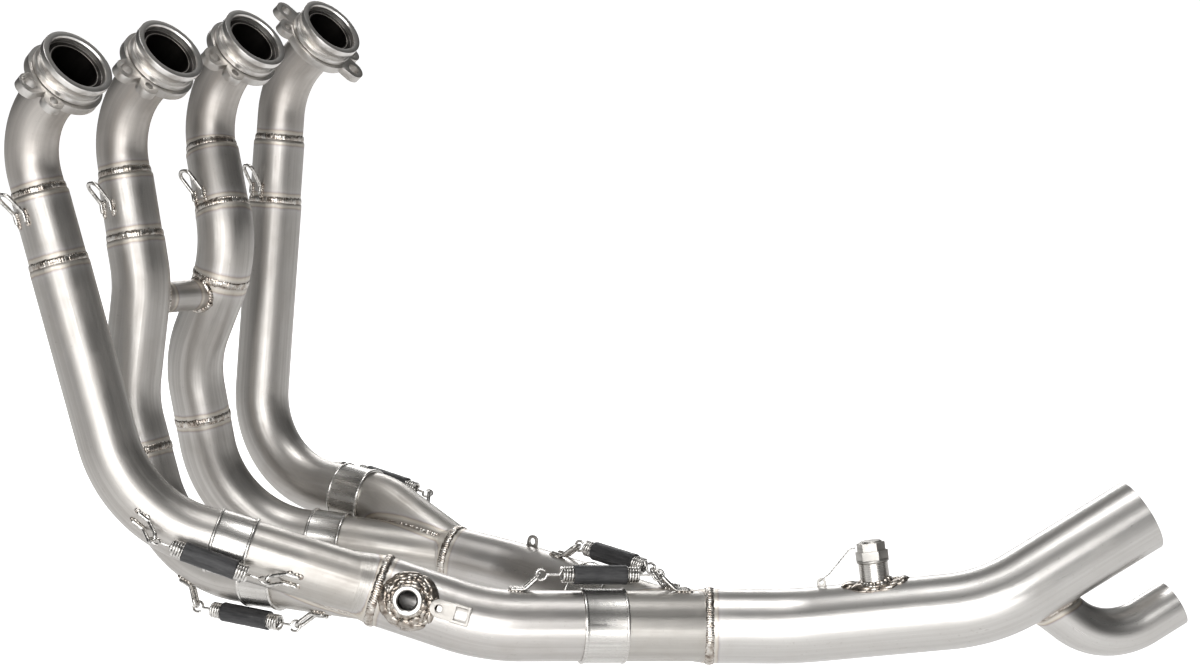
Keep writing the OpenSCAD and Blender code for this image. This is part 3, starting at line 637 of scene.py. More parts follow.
def lathe_finish(name, colour, roughness, dark, lines=1800.0):
    """Turned steel: fine rings round the axis, and painted shade down the bore, inside the two dark radii."""
    material = bpy.data.materials.new(name)
    material.use_nodes = True
    tree = material.node_tree
    shader = tree.nodes["Principled BSDF"]
    data = put(tree, "Attribute", attribute_name="place")
    parts = put(tree, "SeparateXYZ", (("Vector", data.outputs["Vector"]),))
    flat = put(tree, "CombineXYZ", ((0, parts.outputs[0]), (1, parts.outputs[1])))
    radius = put(tree, "VectorMath", ((0, flat.outputs[0]),), operation="LENGTH")
    ring = put(tree, "CombineXYZ", ((0, worked(tree, "MULTIPLY", radius.outputs["Value"], lines)),
                                    (2, worked(tree, "MULTIPLY", parts.outputs[2], lines))))
    cut = put(tree, "TexNoise", (("Vector", ring.outputs[0]), ("Scale", 1.0), ("Detail", 3.0)))
    cloud = put(tree, "TexNoise", (("Vector", data.outputs["Vector"]), ("Scale", 90.0), ("Detail", 6.0)))
    handled = ramp(tree, cloud.outputs[0], ((0.42, 0.0), (0.70, 1.0)))
    duller = (colour[0] * 0.62, colour[1] * 0.58, colour[2] * 0.54, 1)
    shown = mixed(tree, worked(tree, "MULTIPLY", handled, 0.45), (*colour, 1), duller)
    # Painted shade: inside the two dark radii the bore is painted near black and made rougher, to stand in
    # for the shade that falls down it.
    bore_shade = ramp(tree, worked(tree, "MULTIPLY", radius.outputs["Value"], 1 / BORE_SHADE_SPAN),
                ((dark[0] / BORE_SHADE_SPAN, 1.0), (dark[1] / BORE_SHADE_SPAN, 0.0)))
    shown = mixed(tree, bore_shade, shown, (0.030, 0.027, 0.025, 1))
    tree.links.new(worked(tree, "MULTIPLY_ADD", bore_shade, 0.14,
                          worked(tree, "MULTIPLY_ADD", cut.outputs[0], 0.10, roughness)),
                   shader.inputs["Roughness"])
    tree.links.new(shown, shader.inputs["Base Color"])
    shader.inputs["Metallic"].default_value = 1.0
    height = worked(tree, "MULTIPLY_ADD", cloud.outputs[0], 0.6,
                    worked(tree, "MULTIPLY", cut.outputs[0], 0.5))
    bumped = put(tree, "Bump", (("Height", height), ("Strength", 0.35), ("Distance", 0.0003)))
    tree.links.new(bumped.outputs[0], shader.inputs["Normal"])
    return material


# The ring's bore, inside 20 mm radius, is painted near black as shade.
ring_steel = lathe_finish("ring_steel", (0.72, 0.70, 0.675), 0.24, dark=(0.0200, 0.02025))
RING_PROFILE = (
    (17.5, -15), (23.9, -15), (24.4, -14.6), (24.4, -11.4), (24.1, -11.05), (22.6, -11.0), (22.4, -10.8),
    (22.4, -9.4), (22.8, -9.0), (24.7, -4.6), (25.0, -4.0), (25.0, -0.5), (24.85, -0.15), (24.5, 0),
    (21.4, 0), (21.0, -0.1), (20.3, -1.1), (20.2, -1.5), (20.2, -5), (17.5, -5))
for n in range(4):
    ring = turned(f"port_ring_{n + 1}_turned", PORTS[n], PORT_AXIS, (0, 1, 0), RING_PROFILE)
    settle(ring, f"port_ring_{n + 1}", ring_steel)

# The loose flanges. Each is a plate cut from thick stainless sheet, with ears drilled for the
# studs and all its edges broken, and it turns freely on the head bend behind the port ring.


def softened(name, node, width, steps, material, body="header"):
    """A copy of a solid, its points merged and its sharp edges rounded."""
    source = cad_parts[node]
    mesh = source.data.copy()
    mesh.name = name
    thing = bpy.data.objects.new(name, mesh)
    bpy.context.scene.collection.objects.link(thing)
    weld = thing.modifiers.new("join", "WELD")
    weld.merge_threshold = 0.00002
    plane = thing.modifiers.new("plane", "DECIMATE")
    plane.decimate_type = "DISSOLVE"
    plane.angle_limit = math.radians(1.0)
    bevel = thing.modifiers.new("round", "BEVEL")
    bevel.width = width * MM
    bevel.segments = steps
    bevel.limit_method = "ANGLE"
    bevel.angle_limit = math.radians(32)
    made = bpy.data.meshes.new_from_object(thing.evaluated_get(bpy.context.evaluated_depsgraph_get()))
    thing.modifiers.clear()
    thing.data = made
    made.name = name
    made.shade_smooth()
    made.set_sharp_from_angle(angle=math.radians(38))
    return settle(thing, node, material, body)


flange_steel = steel_finish("flange_steel", place=None, seam=None, turn=(0, math.radians(47.5), 0),
                            Steel=(0.58, 0.56, 0.535, 1), Streaks=0.25, Stains=0.9, Polish=0.29, bump=0.55)
for n in range(4):
    softened(f"port_flange_{n + 1}_plate", f"port_flange_{n + 1}", 0.8, 3, flange_steel,
             f"port_flange_{n + 1}")

# The cross stub, a short tube that joins the two middle pipes so that their pulses mix. Its ends
# are fish-mouthed to the pipes, and heavy beads run round both.
CROSS_STATION = {1: 188, 2: 200}
CROSS_R = 11.0


def cut_by(piece, tool, way="DIFFERENCE"):
    """Cuts a piece by another, or joins them, and drops the tool."""
    work = piece.modifiers.new("cut", "BOOLEAN")
    work.operation = way
    work.solver = "MANIFOLD"
    work.object = tool
    made = bpy.data.meshes.new_from_object(piece.evaluated_get(bpy.context.evaluated_depsgraph_get()))
    piece.modifiers.clear()
    old = piece.data
    piece.data = made
    bpy.data.meshes.remove(old)
    bpy.data.objects.remove(tool)
    return piece


def rod(name, line, start, stop, radius, around=72, step=2.4):
    """A solid bar along a centre line, for joining and cutting."""
    s = np.linspace(start, stop, max(2, int((stop - start) / step) + 1))
    p, d, x, y = line.at(s)
    t = np.linspace(0, 2 * math.pi, around + 1)[:-1]
    rows = [p[i] + (np.outer(np.cos(t), x[i]) + np.outer(np.sin(t), y[i])) * radius for i in range(len(s))]
    faces = skin_faces(len(s), around, False)
    total = len(s) * around
    faces += [tuple(range(around - 1, -1, -1)), tuple(range(total - around, total))]
    return make_mesh(name, np.concatenate(rows), faces)


def dress(piece, lines, welds, creases=None):
    """Works out afresh each point's place on the nearest of several tubes, and its nearest weld."""
    mesh = piece.data
    points = np.empty(len(mesh.vertices) * 3, np.float32)
    mesh.vertices.foreach_get("co", points)
    points = points.reshape(-1, 3) / MM
    best = np.full(len(points), 1e9)
    place = np.zeros((len(points), 3))
    seam = np.full(len(points), 90.0)
    for (line, radius), stations in zip(lines, welds):
        gap, s, x, y = line.near(points)
        closer = np.abs(gap - radius) < best
        best = np.where(closer, np.abs(gap - radius), best)
        place[closer] = np.c_[x, y, s][closer]
        for w in stations:
            seam = np.where(closer, np.minimum(seam, np.abs(s - w)), seam)
    if creases is not None and len(creases):
        for part in np.array_split(np.arange(len(points)), max(1, len(points) // 500)):
            gap = np.sqrt(((points[part, None] - creases[None]) ** 2).sum(2)).min(1)
            seam[part] = np.minimum(seam[part], gap)
    set_data(mesh, "place", "FLOAT_VECTOR", place * MM)
    set_data(mesh, "seam", "FLOAT", seam * MM)
    mesh.shade_smooth()
    mesh.set_sharp_from_angle(angle=math.radians(40))


def saddle(line, radius, stub_line, stub_radius, start, stop, count=120):
    """The path where a stub's outside meets a pipe, searched along the stub from start to stop."""
    t = np.linspace(0, 2 * math.pi, count + 1)[:-1]
    s = np.linspace(start, stop, 160)
    p, d, x, y = stub_line.at(s)
    found, outs = [], []
    for angle in t:
        away = x * math.cos(angle) + y * math.sin(angle)
        q = p + away * stub_radius
        gap = line.near(q)[0] - radius
        k = int(np.argmax(gap > 0))
        if k == 0:
            k = 1
        share = np.clip(gap[k - 1] / (gap[k - 1] - gap[k] + 1e-9), 0, 1)
        here = q[k - 1] * (1 - share) + q[k] * share
        centre = line.at([line.near(here[None])[1][0]])[0][0]
        found.append(here)
        outs.append(unit(unit(here - centre) + away[k]))
    return np.array(found), np.array(outs), True


cross_a = HEADS[1].at([CROSS_STATION[1]])[0][0]
cross_b = HEADS[2].at([CROSS_STATION[2]])[0][0]
span = float(np.linalg.norm(cross_b - cross_a))
CROSS = CentreLine((cross_a, cross_b), ())
CROSS_SUNK = 1.4
stub = tube("cross_stub_steel", CROSS, DOWN_R - CROSS_SUNK, span - DOWN_R + CROSS_SUNK, CROSS_R,
            [DOWN_R + 1, span - DOWN_R - 1], step=1.0)
settle(stub, "cross_stub", down_steel)
BACKWARD = CentreLine((cross_b, cross_a), ())
cross_paths = [saddle(HEADS[1], DOWN_R, CROSS, CROSS_R, 10, 32),
               saddle(HEADS[2], DOWN_R, BACKWARD, CROSS_R, 10, 32)]
beads("cross_welds", cross_paths, 2.2, 5.2, 1.9, uneven=0.28, seed=21)

# The slip collars. Each down tube ends in a plain sleeve over the collector's leg, so that the
# two can slide as they grow with the heat. A sleeve has a rolled ridge at each end.
NEAR_CORNER = (243, -38, -368)
FAR_CORNERS = ((197, 77, -375), (318, 56, -379))
LAST_JUNCTION = (362, 62, -378)
TAIL_CORNERS = ((407, 87, -378), (529, 130, -356), (605, 204, -300))


def from_before(first, then, back=12):
    return np.asarray(first, float) - unit(np.subtract(then, first)) * back


NEAR = CentreLine((from_before(NEAR_JUNCTION, NEAR_CORNER), NEAR_CORNER, LAST_JUNCTION), (124,))
FAR = CentreLine((from_before(FAR_JUNCTION, FAR_CORNERS[0]), *FAR_CORNERS, LAST_JUNCTION), (100, 80))
TAIL = CentreLine((from_before(LAST_JUNCTION, TAIL_CORNERS[0]), *TAIL_CORNERS), (150, 100))
NEAR_R, FAR_R, TAIL_R = 23.5, 22.5, 25.0
NEAR_SLIP, FAR_SLIP = 158, 133
COLLAR_WALL, COLLAR_GAP = 1.2, 0.05
RIDGE_R = 1.2


def collar_profile(radius, length, ridge):
    """Outline of a sleeve with a rounded ridge at each end."""
    inner, outer, half = radius + COLLAR_GAP, radius + COLLAR_GAP + COLLAR_WALL, length / 2
    bumps = [(outer + ridge * math.sin(t), RIDGE_R - RIDGE_R * math.cos(t))
             for t in np.linspace(0.35, math.pi - 0.1, 8)]
    start = [(r, h - half) for r, h in bumps]
    end = [(r, half - h) for r, h in reversed(bumps)]
    return [(inner, -half), (outer - 0.2, -half), *start, (outer, -half + 2.9), (outer, half - 2.9), *end,
            (outer - 0.2, half), (inner, half)]


collar_steel = steel_finish("collar_steel", seam=None, Steel=(0.64, 0.625, 0.60, 1), Streaks=0.9, Stains=0.5,
                            Polish=0.17, bump=0.35)
for n, line in enumerate(HEADS):
    p, d, x, y = line.at([SLIP_AT[n]])
    collar = turned(f"slip_collar_{n + 1}_steel", p[0], d[0], x[0], collar_profile(DOWN_R, 26, 0.9), 96, 30)
    settle(collar, f"slip_collar_{n + 1}", collar_steel)
for name, line, station, radius in (("final_slip_near", NEAR, NEAR_SLIP, NEAR_R),
                                    ("final_slip_far", FAR, FAR_SLIP, FAR_R)):
    p, d, x, y = line.at([station])
    collar = turned(name + "_steel", p[0], d[0], x[0], collar_profile(radius, 30, 0.5), 112, 30)
    settle(collar, name, collar_steel)

# The collectors. Two legs are cut at a slant, welded along their crease and drawn into one outlet.
# The near and far collectors join the pipes in pairs, and the final one joins those two.
COLLECTOR_END = 7
CONE_START, CONE_END = -18, 4
OUTLET_OVER = 0.5
OFFCUT, OFFCUT_RIM = 40, 15
SLIP_BACK = 0.5
LEG_SHORT, NEAR_LEG_SHORT, FAR_LEG_SHORT = 10, 12, 8


def crease_path(first, r0, second, r1, start, stop, count=140):
    """The two lines along which the outsides of two legs meet."""
    paths = []
    s = np.linspace(start, stop, count)
    p, d, x, y = first.at(s)
    t = np.linspace(0, 2 * math.pi, 181)
    lines = [[], []]
    for i in range(count):
        ring = p[i] + (np.outer(np.cos(t), x[i]) + np.outer(np.sin(t), y[i])) * r0
        inside = second.near(ring)[0] < r1
        change = np.flatnonzero(inside[1:] != inside[:-1])
        if len(change) != 2:
            continue
        hits = sorted((ring[k] for k in change), key=lambda q: -q[2])
        for kept, hit in zip(lines, hits):
            kept.append(hit)
    for kept in lines:
        if len(kept) < 4:
            continue
        kept = np.array(kept)
        for _ in range(3):
            kept[1:-1] = (kept[:-2] + kept[1:-1] * 2 + kept[2:]) / 4
        from_first = unit(kept - first.at(first.near(kept)[1])[0])
        outs = unit(from_first + unit(kept - second.at(second.near(kept)[1])[0]))
        paths.append((kept, outs, False))
    return paths


collector_steel = steel_finish("collector_steel", Steel=(0.49, 0.47, 0.44, 1), Heat=0.8, Streaks=0.8,
                               Stains=0.9, Polish=0.28, bump=0.45)


def collector(node, first, second, outlet, room=None):
    """Two legs run into one outlet: each is its line, its radius and the station where it starts."""
    line, out_r = outlet

    def body(name, less):
        more = 1.0 if less else 0.0
        whole = rod(name, first[0], first[2] - more, first[0].length - first[3], first[1] - less)
        other = rod(name + "_b", second[0], second[2] - more, second[0].length - second[3],
                    second[1] - less)
        whole = cut_by(whole, other, "UNION")
        p, d, x, y = line.at([0])
        slim = min(first[1], second[1]) - 0.6 - less
        profile = [(slim, CONE_START), (out_r - less, CONE_END),
                   (out_r - less, COLLECTOR_END + OUTLET_OVER + more)]
        cone = turned(name + "_c", p[0], d[0], x[0], profile, 72, 30, closed=False)
        return cut_by(whole, cone, "UNION")
    piece = cut_by(body(node + "_steel", 0), body(node + "_core", WALL))
    cut_by(piece, rod(node + "_end", line, COLLECTOR_END, COLLECTOR_END + OFFCUT, out_r + OFFCUT_RIM))
    if room:
        near_line, station, inner, outer, half = room
        p, d, x, y = near_line.at([station])
        profile = [(inner, -half), (outer, -half), (outer, half), (inner, half)]
        cut_by(piece, turned(node + "_room", p[0], d[0], x[0], profile, 72))
    creases = crease_path(first[0], first[1], second[0], second[1], first[2],
                          first[0].length - first[3])
    near_creases = np.concatenate([c[0] for c in creases]) if creases else None
    dress(piece, ((first[0], first[1]), (second[0], second[1]), outlet), ((), (), (COLLECTOR_END,)),
          near_creases)
    settle(piece, node, collector_steel)
    return creases


legs = [(HEADS[n], DOWN_R, SLIP_AT[n] + SLIP_BACK, LEG_SHORT) for n in range(4)]
join_creases = {
    "near": collector("near_collector", legs[0], legs[1], (NEAR, NEAR_R),
                      (HEADS[1], SLIP_AT[1], DOWN_R + COLLAR_GAP, DOWN_R + 2.3, 13.2)),
    "far": collector("far_collector", legs[2], legs[3], (FAR, FAR_R)),
    "final": collector("final_collector", (NEAR, NEAR_R, NEAR_SLIP + SLIP_BACK, NEAR_LEG_SHORT),
                       (FAR, FAR_R, FAR_SLIP + SLIP_BACK, FAR_LEG_SHORT), (TAIL, TAIL_R),
                       (NEAR, NEAR_SLIP, NEAR_R + COLLAR_GAP, NEAR_R + 1.9, 15.2))}
for key, line, radius in (("near", NEAR, NEAR_R), ("far", FAR, FAR_R), ("final", TAIL, TAIL_R)):
    beads(f"{key}_crease_welds", join_creases[key], 1.9, 4.4, 0.9, uneven=0.2, seed=31)
    beads(f"{key}_outlet_weld", [ring_path(line, COLLECTOR_END, radius)], 1.7, 6.0, 1.2, uneven=0.14, seed=33)

# The pipes behind the collectors, and the tail pipe with its branch. They are larger tube, bent
# and left brighter than the rest, and the branch is saddle-welded under the tail's last straight.
pipe_steel = steel_finish("pipe_steel", Steel=(0.53, 0.51, 0.49, 1), Heat=0.6, Streaks=0.7, Stains=0.6,
                          Polish=0.25, bump=0.40)
tail_steel = steel_finish("tail_steel", Steel=(0.57, 0.555, 0.535, 1), Heat=0.7, Streaks=0.45, Stains=0.25,
                          Polish=0.25, bump=0.30)
SENSOR_STATION = 29
SENSOR_SIDE = unit((0.305, -0.869, 0.389))
PLUG_STATION = 122
PLUG_SIDE = unit((-0.262, 0.106, 0.959))
BRANCH = CentreLine(((542, 151, -342), (590, 188, -390), (625, 223, -364)), (48,))
BRANCH_R = 16.0


def square_to(line, station, side):
    """Foot of a boss on a pipe's centre line, and the way it stands."""
    p, d, x, y = line.at([station])
    return p[0], unit(np.asarray(side) - d[0] * float(np.asarray(side) @ d[0]))


sensor_foot, sensor_way = square_to(NEAR, SENSOR_STATION, SENSOR_SIDE)
plug_foot, plug_way = square_to(TAIL, PLUG_STATION, PLUG_SIDE)
SENSOR = CentreLine((sensor_foot, sensor_foot + sensor_way * 40), ())
PLUG = CentreLine((plug_foot, plug_foot + plug_way * 50), ())

near_pipe = tube("near_pipe_steel", NEAR, COLLECTOR_END, NEAR_SLIP - SLIP_FRONT, NEAR_R, [COLLECTOR_END],
                 around=84, step=1.8)
cut_by(near_pipe, rod("sensor_drill", SENSOR, 5, 38, 6.0, 48))
dress(near_pipe, ((NEAR, NEAR_R),), ((COLLECTOR_END,),), saddle(NEAR, NEAR_R, SENSOR, 12, 10, 32)[0])
settle(near_pipe, "near_pipe", pipe_steel)
far_pipe = tube("far_pipe_steel", FAR, COLLECTOR_END, FAR_SLIP - SLIP_FRONT, FAR_R, [COLLECTOR_END],
                around=84, step=1.8)
settle(far_pipe, "far_pipe", pipe_steel)

tail_pipe = tube("tail_pipe_steel", TAIL, COLLECTOR_END, TAIL.length, TAIL_R, [COLLECTOR_END], around=96,
                 step=2.0)
cut_by(tail_pipe, rod("branch_drill", BRANCH, 0, 75, BRANCH_R - WALL, 72))
cut_by(tail_pipe, rod("plug_drill", PLUG, 5, 44, 7.5, 48))
branch_seam = saddle(TAIL, TAIL_R, BRANCH, BRANCH_R, 8, 74)
plug_seam = saddle(TAIL, TAIL_R, PLUG, 10, 14, 34)
dress(tail_pipe, ((TAIL, TAIL_R),), ((COLLECTOR_END,),),
      np.concatenate((branch_seam[0], plug_seam[0])))
settle(tail_pipe, "tail_pipe", tail_steel)

branch = tube("branch_pipe_steel", BRANCH, 0, BRANCH.length, BRANCH_R, [90], around=72, step=1.6)
cut_by(branch, rod("tail_cut", TAIL, 150, TAIL.length, TAIL_R - 0.2, 96))
dress(branch, ((BRANCH, BRANCH_R),), ((),), branch_seam[0])
branch_steel = steel_finish("branch_steel", Steel=(0.57, 0.555, 0.535, 1), Heat=1.0, Streaks=0.45,
                            Stains=0.25, Polish=0.25, bump=0.30)
settle(branch, "branch_pipe", branch_steel)
beads("branch_weld", [branch_seam], 1.7, 4.6, 1.2, uneven=0.16, seed=41)
beads("plug_weld", [plug_seam], 2.6, 7.0, 2.0, uneven=0.3, seed=43)
t = np.linspace(0, 2 * math.pi, 91)[:-1]
PAD_LONG, PAD_WIDE = 19, 12
p, d, _, _ = TAIL.at(PLUG_STATION + PAD_LONG * np.cos(t))
turned_by = (PAD_WIDE * np.sin(t) / TAIL_R)[:, None]
up = unit(plug_way - d * (d @ plug_way)[:, None])
away = up * np.cos(turned_by) + np.cross(d, up) * np.sin(turned_by)
pad = (p + away * (TAIL_R - 0.3), away, True)
scorched = weld_steel.copy()
scorched.name = "scorched_weld"
tones = next(n for n in scorched.node_tree.nodes if n.bl_idname == "ShaderNodeValToRGB")
for stop in tones.color_ramp.elements:
    stop.color = (stop.color[0] * 0.78, stop.color[1] * 0.76, stop.color[2] * 0.74, 1)
beads("plug_pad_weld", [pad], 5.5, 9.0, 1.7, uneven=0.3, seed=45, material=scorched)
beads("sensor_weld", [saddle(NEAR, NEAR_R, SENSOR, r, 10, 32) for r in (11.0, 14.5)], 4.2, 8.0, 2.6,
      uneven=0.42, seed=47, material=scorched)
beads("sensor_weld_back", [saddle(NEAR, NEAR_R, SENSOR, 17.5, 10, 32)], 5.2, 7.0, 1.3, uneven=0.5, seed=49,
      material=scorched)

# The wire spring loops. Each is a length of bright wire bent to a bow, its two feet laid on the
# tube and tacked. One pair holds each slip joint's spring, and one loop sits by each head.
LOOP_R = 1.4
LOOP_GAP, LOOP_FOOT, LOOP_REACH = 3.6, 8.0, 12.0
LOOP_LIFT = (10.5, 10.5, 11.7, 12.2, 10.5, 10.5)
TOWARD_SIDE = np.array((0.489, -0.842, 0.227))
TOWARD_TOP = np.array((-0.114, 0.196, 0.974))


def wire(name, points, radius, bends=None, around=16, step=0.8):
    """A bent wire with rounded ends, as points and faces."""
    line = CentreLine(points, bends or ())
    cap = [(radius * (1 - math.cos(t)), radius * math.sin(t)) for t in np.linspace(0.15, math.pi / 2, 5)]
    s = np.array([c[0] for c in cap] + list(np.linspace(radius, line.length - radius,
                 max(2, int(line.length / step)))[1:-1]) + [line.length - c[0] for c in reversed(cap)])
    r = np.array([c[1] for c in cap] + [radius] * (len(s) - 10) + [c[1] for c in reversed(cap)])
    p, d, x, y = line.at(s)
    t = np.linspace(0, 2 * math.pi, around + 1)[:-1]
    rows = [p[i] + (np.outer(np.cos(t), x[i]) + np.outer(np.sin(t), y[i])) * r[i] for i in range(len(s))]
    faces = skin_faces(len(s), around, False)
    total = len(s) * around
    faces += [tuple(range(around - 1, -1, -1)), tuple(range(total - around, total))]
    return np.concatenate(rows), faces


def gathered(name, parts):
    """One object from several sets of points and faces."""
    points, faces, base = [], [], 0
    for p, f in parts:
        points.append(p)
        faces += [tuple(v + base for v in face) for face in f]
        base += len(p)
    return make_mesh(name, np.concatenate(points), faces, crease=50)


def local_frame(line, station, side):
    """Matrix columns at a station: x towards the side, z along the pipe, and the point."""
    p, d, _, _ = line.at([station])
    z = d[0]
    x = unit(np.asarray(side, float) - z * float(np.asarray(side, float) @ z))
    return p[0], x, np.cross(z, x), z


def placed(base, points):
    """Local points carried to a frame."""
    p, x, y, z = base
    return [p + x * a + y * b + z * c for a, b, c in points]


def loop_shape(line, station, side, radius, half, foot, reach, lift, way):
    """Corners and bend radii of a wire loop."""
    h = radius + LOOP_R - 0.3
    top = radius + lift
    local = ((h, -half, -foot * way), (h, -half, 2 * way), (top, -half, reach * way),
             (top, half, reach * way), (h, half, 2 * way), (h, half, -foot * way))
    return placed(local_frame(line, station, side), local), (3, half * 0.97, half * 0.97, 3)


def wire_finish(name, colour, roughness):
    """Drawn wire: bright, with scratches and darker handling marks."""
    material = bpy.data.materials.new(name)
    material.use_nodes = True
    tree = material.node_tree
    shader = tree.nodes["Principled BSDF"]
    where = tree.nodes.new("ShaderNodeTexCoord")
    tone = put(tree, "TexNoise", (("Vector", where.outputs["Object"]), ("Scale", 420.0), ("Detail", 5.0)))
    shown = ramp(tree, tone.outputs[0], ((0.34, [c * 0.45 for c in colour]), (0.56, colour)))
    tree.links.new(shown, shader.inputs["Base Color"])
    tree.links.new(worked(tree, "MULTIPLY_ADD", tone.outputs[0], 0.22, roughness), shader.inputs["Roughness"])
    shader.inputs["Metallic"].default_value = 1.0
    bumped = put(tree, "Bump", (("Height", tone.outputs[0]), ("Strength", 0.25), ("Distance", 0.0002)))
    tree.links.new(bumped.outputs[0], shader.inputs["Normal"])
    return material


loop_steel = wire_finish("loop_steel", (0.66, 0.64, 0.61), 0.14)
HEAD_LOOP_SIDE = (-0.2, -0.97, 0.1)
HEAD_LOOP_STATION = (114, 122, 127, 137)
HEAD_LOOP_GAP, HEAD_LOOP_FOOT, HEAD_LOOP_REACH, HEAD_LOOP_LIFT = 5, 5, 16, 11
parts, tacks = [], []
for n in range(4):
    corners, bends = loop_shape(HEADS[n], HEAD_LOOP_STATION[n], HEAD_LOOP_SIDE, STEP_R, HEAD_LOOP_GAP,
                                HEAD_LOOP_FOOT, HEAD_LOOP_REACH, HEAD_LOOP_LIFT, -1)
    parts.append(wire("loop", corners, LOOP_R, bends))
    base = local_frame(HEADS[n], HEAD_LOOP_STATION[n], HEAD_LOOP_SIDE)
    for y in (-HEAD_LOOP_GAP, HEAD_LOOP_GAP):
        foot = np.array(placed(base, [(STEP_R - 0.6, y, z) for z in np.linspace(6, -2, 12)]))
        tacks.append((foot, np.tile(base[1], (12, 1)), False))
settle(gathered("head_loops_wire", parts), "head_loops", loop_steel)
beads("head_loop_tacks", tacks, 1.6, 4.6, 1.3, uneven=0.3, seed=51)

SPRING_AT = [(HEADS[n], DOWN_R, SLIP_AT[n] - (55, 50, 52, 46)[n], SLIP_AT[n] + (42, 42, 47, 50)[n],
              TOWARD_SIDE * mix[0] + TOWARD_TOP * mix[1])
             for n, mix in enumerate(((0.914, -0.407), (0.3, -0.95), (-0.6, -0.8), (-0.8, 0.6)))]
SPRING_AT += [(NEAR, NEAR_R, 103, 209, TOWARD_TOP), (FAR, FAR_R, 96, 189, TOWARD_TOP)]
parts, tacks = [], []
for (line, radius, start, stop, side), lift in zip(SPRING_AT, LOOP_LIFT):
    for station, way in ((start, 1), (stop, -1)):
        corners, bends = loop_shape(line, station, side, radius, LOOP_GAP, LOOP_FOOT, LOOP_REACH, lift, way)
        parts.append(wire("loop", corners, LOOP_R, bends))
        base = local_frame(line, station, side)
        for y in (-LOOP_GAP, LOOP_GAP):
            foot = np.array(placed(base, [(radius - 0.6, y, z * way)
                                          for z in np.linspace(-LOOP_FOOT, -1, 12)]))
            tacks.append((foot, np.tile(base[1], (12, 1)), False))
settle(gathered("spring_loops_wire", parts), "spring_loops", loop_steel)
beads("spring_loop_tacks", tacks, 1.8, 4.4, 1.2, uneven=0.3, seed=53)

# The six tension springs that pull the slip joints home. Each is a close coil of plated wire with
# a hook turned out at both ends, and the hooks are caught on the loops' bows.
COIL_R, COIL_WIRE_R, COIL_LEN, HOOK_R = 5.5 - 0.9, 0.9, 52.0, 3.6
coil_tree = bpy.data.node_groups.new("close_coil", "GeometryNodeTree")
for socket, kind in (("Geometry", "Geometry"), ("Turns", "Float"), ("Coil", "Float"), ("Length", "Float"),
                     ("Wire", "Float"), ("Steel", "Material")):
    coil_tree.interface.new_socket(name=socket, in_out="INPUT", socket_type="NodeSocket" + kind)
coil_tree.interface.new_socket(name="Geometry", in_out="OUTPUT", socket_type="NodeSocketGeometry")
given = coil_tree.nodes.new("NodeGroupInput")
left = coil_tree.nodes.new("NodeGroupOutput")
helix = tied(coil_tree, "GeometryNodeCurveSpiral",
             (("Resolution", 28), ("Rotations", given.outputs["Turns"]),
              ("Start Radius", given.outputs["Coil"]), ("End Radius", given.outputs["Coil"]),
              ("Height", given.outputs["Length"])))
section = tied(coil_tree, "GeometryNodeCurvePrimitiveCircle",
               (("Resolution", 9), ("Radius", given.outputs["Wire"])), mode="RADIUS")
wound = tied(coil_tree, "GeometryNodeCurveToMesh",
             (("Curve", helix.outputs[0]), ("Profile Curve", section.outputs[0]), ("Fill Caps", True)))
level = tied(coil_tree, "GeometryNodeSetShadeSmooth", (("Geometry", wound.outputs[0]),))
sole = tied(coil_tree, "GeometryNodeRealizeInstances", (("Geometry", level.outputs[0]),))
coated = tied(coil_tree, "GeometryNodeSetMaterial", (("Geometry", sole.outputs[0]),
                                                     ("Material", given.outputs["Steel"])))
coil_tree.links.new(coated.outputs[0], left.inputs[0])
spring_steel = wire_finish("spring_steel", (0.74, 0.72, 0.69), 0.16)


def bow_at(line, radius, station, side, lift, way):
    """Middle of a loop's bow, where the hook lies."""
    p, x, y, z = local_frame(line, station, side)
    return p + x * (radius + lift) + z * LOOP_REACH * way


def hook_points(rest):
    """A hook's centre line: round the bow, then back to the coil's axis and out to its wire."""
    far = LOOP_R + COIL_WIRE_R + 0.05
    arc = [(HOOK_R * math.cos(t), 0, HOOK_R - far + HOOK_R * math.sin(t))
           for t in np.radians(np.linspace(50, -270, 33))]
    neck = [(0, 0, 2 * HOOK_R - far + 0.6), (0, 0, rest - 1.2), (COIL_R * 0.6, 0, rest + 0.2),
            (COIL_R, 0.6, rest + 0.8)]
    return arc + neck


def coil(name):
    """The wound part of a spring, along z from 0."""
    seed_mesh = bpy.data.meshes.new(name)
    guide = bpy.data.objects.new(name, seed_mesh)
    bpy.context.scene.collection.objects.link(guide)
    maker = guide.modifiers.new("coil", "NODES")
    maker.node_group = coil_tree
    wanted = {"Turns": COIL_LEN / (2 * COIL_WIRE_R) / 1.03, "Coil": COIL_R * MM, "Length": COIL_LEN * MM,
              "Wire": COIL_WIRE_R * MM, "Steel": spring_steel}
    for item in coil_tree.interface.items_tree:
        if item.in_out == "INPUT" and item.name in wanted:
            maker[item.identifier] = wanted[item.name]
    made = bpy.data.meshes.new_from_object(guide.evaluated_get(bpy.context.evaluated_depsgraph_get()))
    bpy.data.objects.remove(guide)
    points = np.empty(len(made.vertices) * 3)
    made.vertices.foreach_get("co", points)
    faces = [tuple(f.vertices) for f in made.polygons]
    bpy.data.meshes.remove(made)
    return points.reshape(-1, 3) / MM, faces


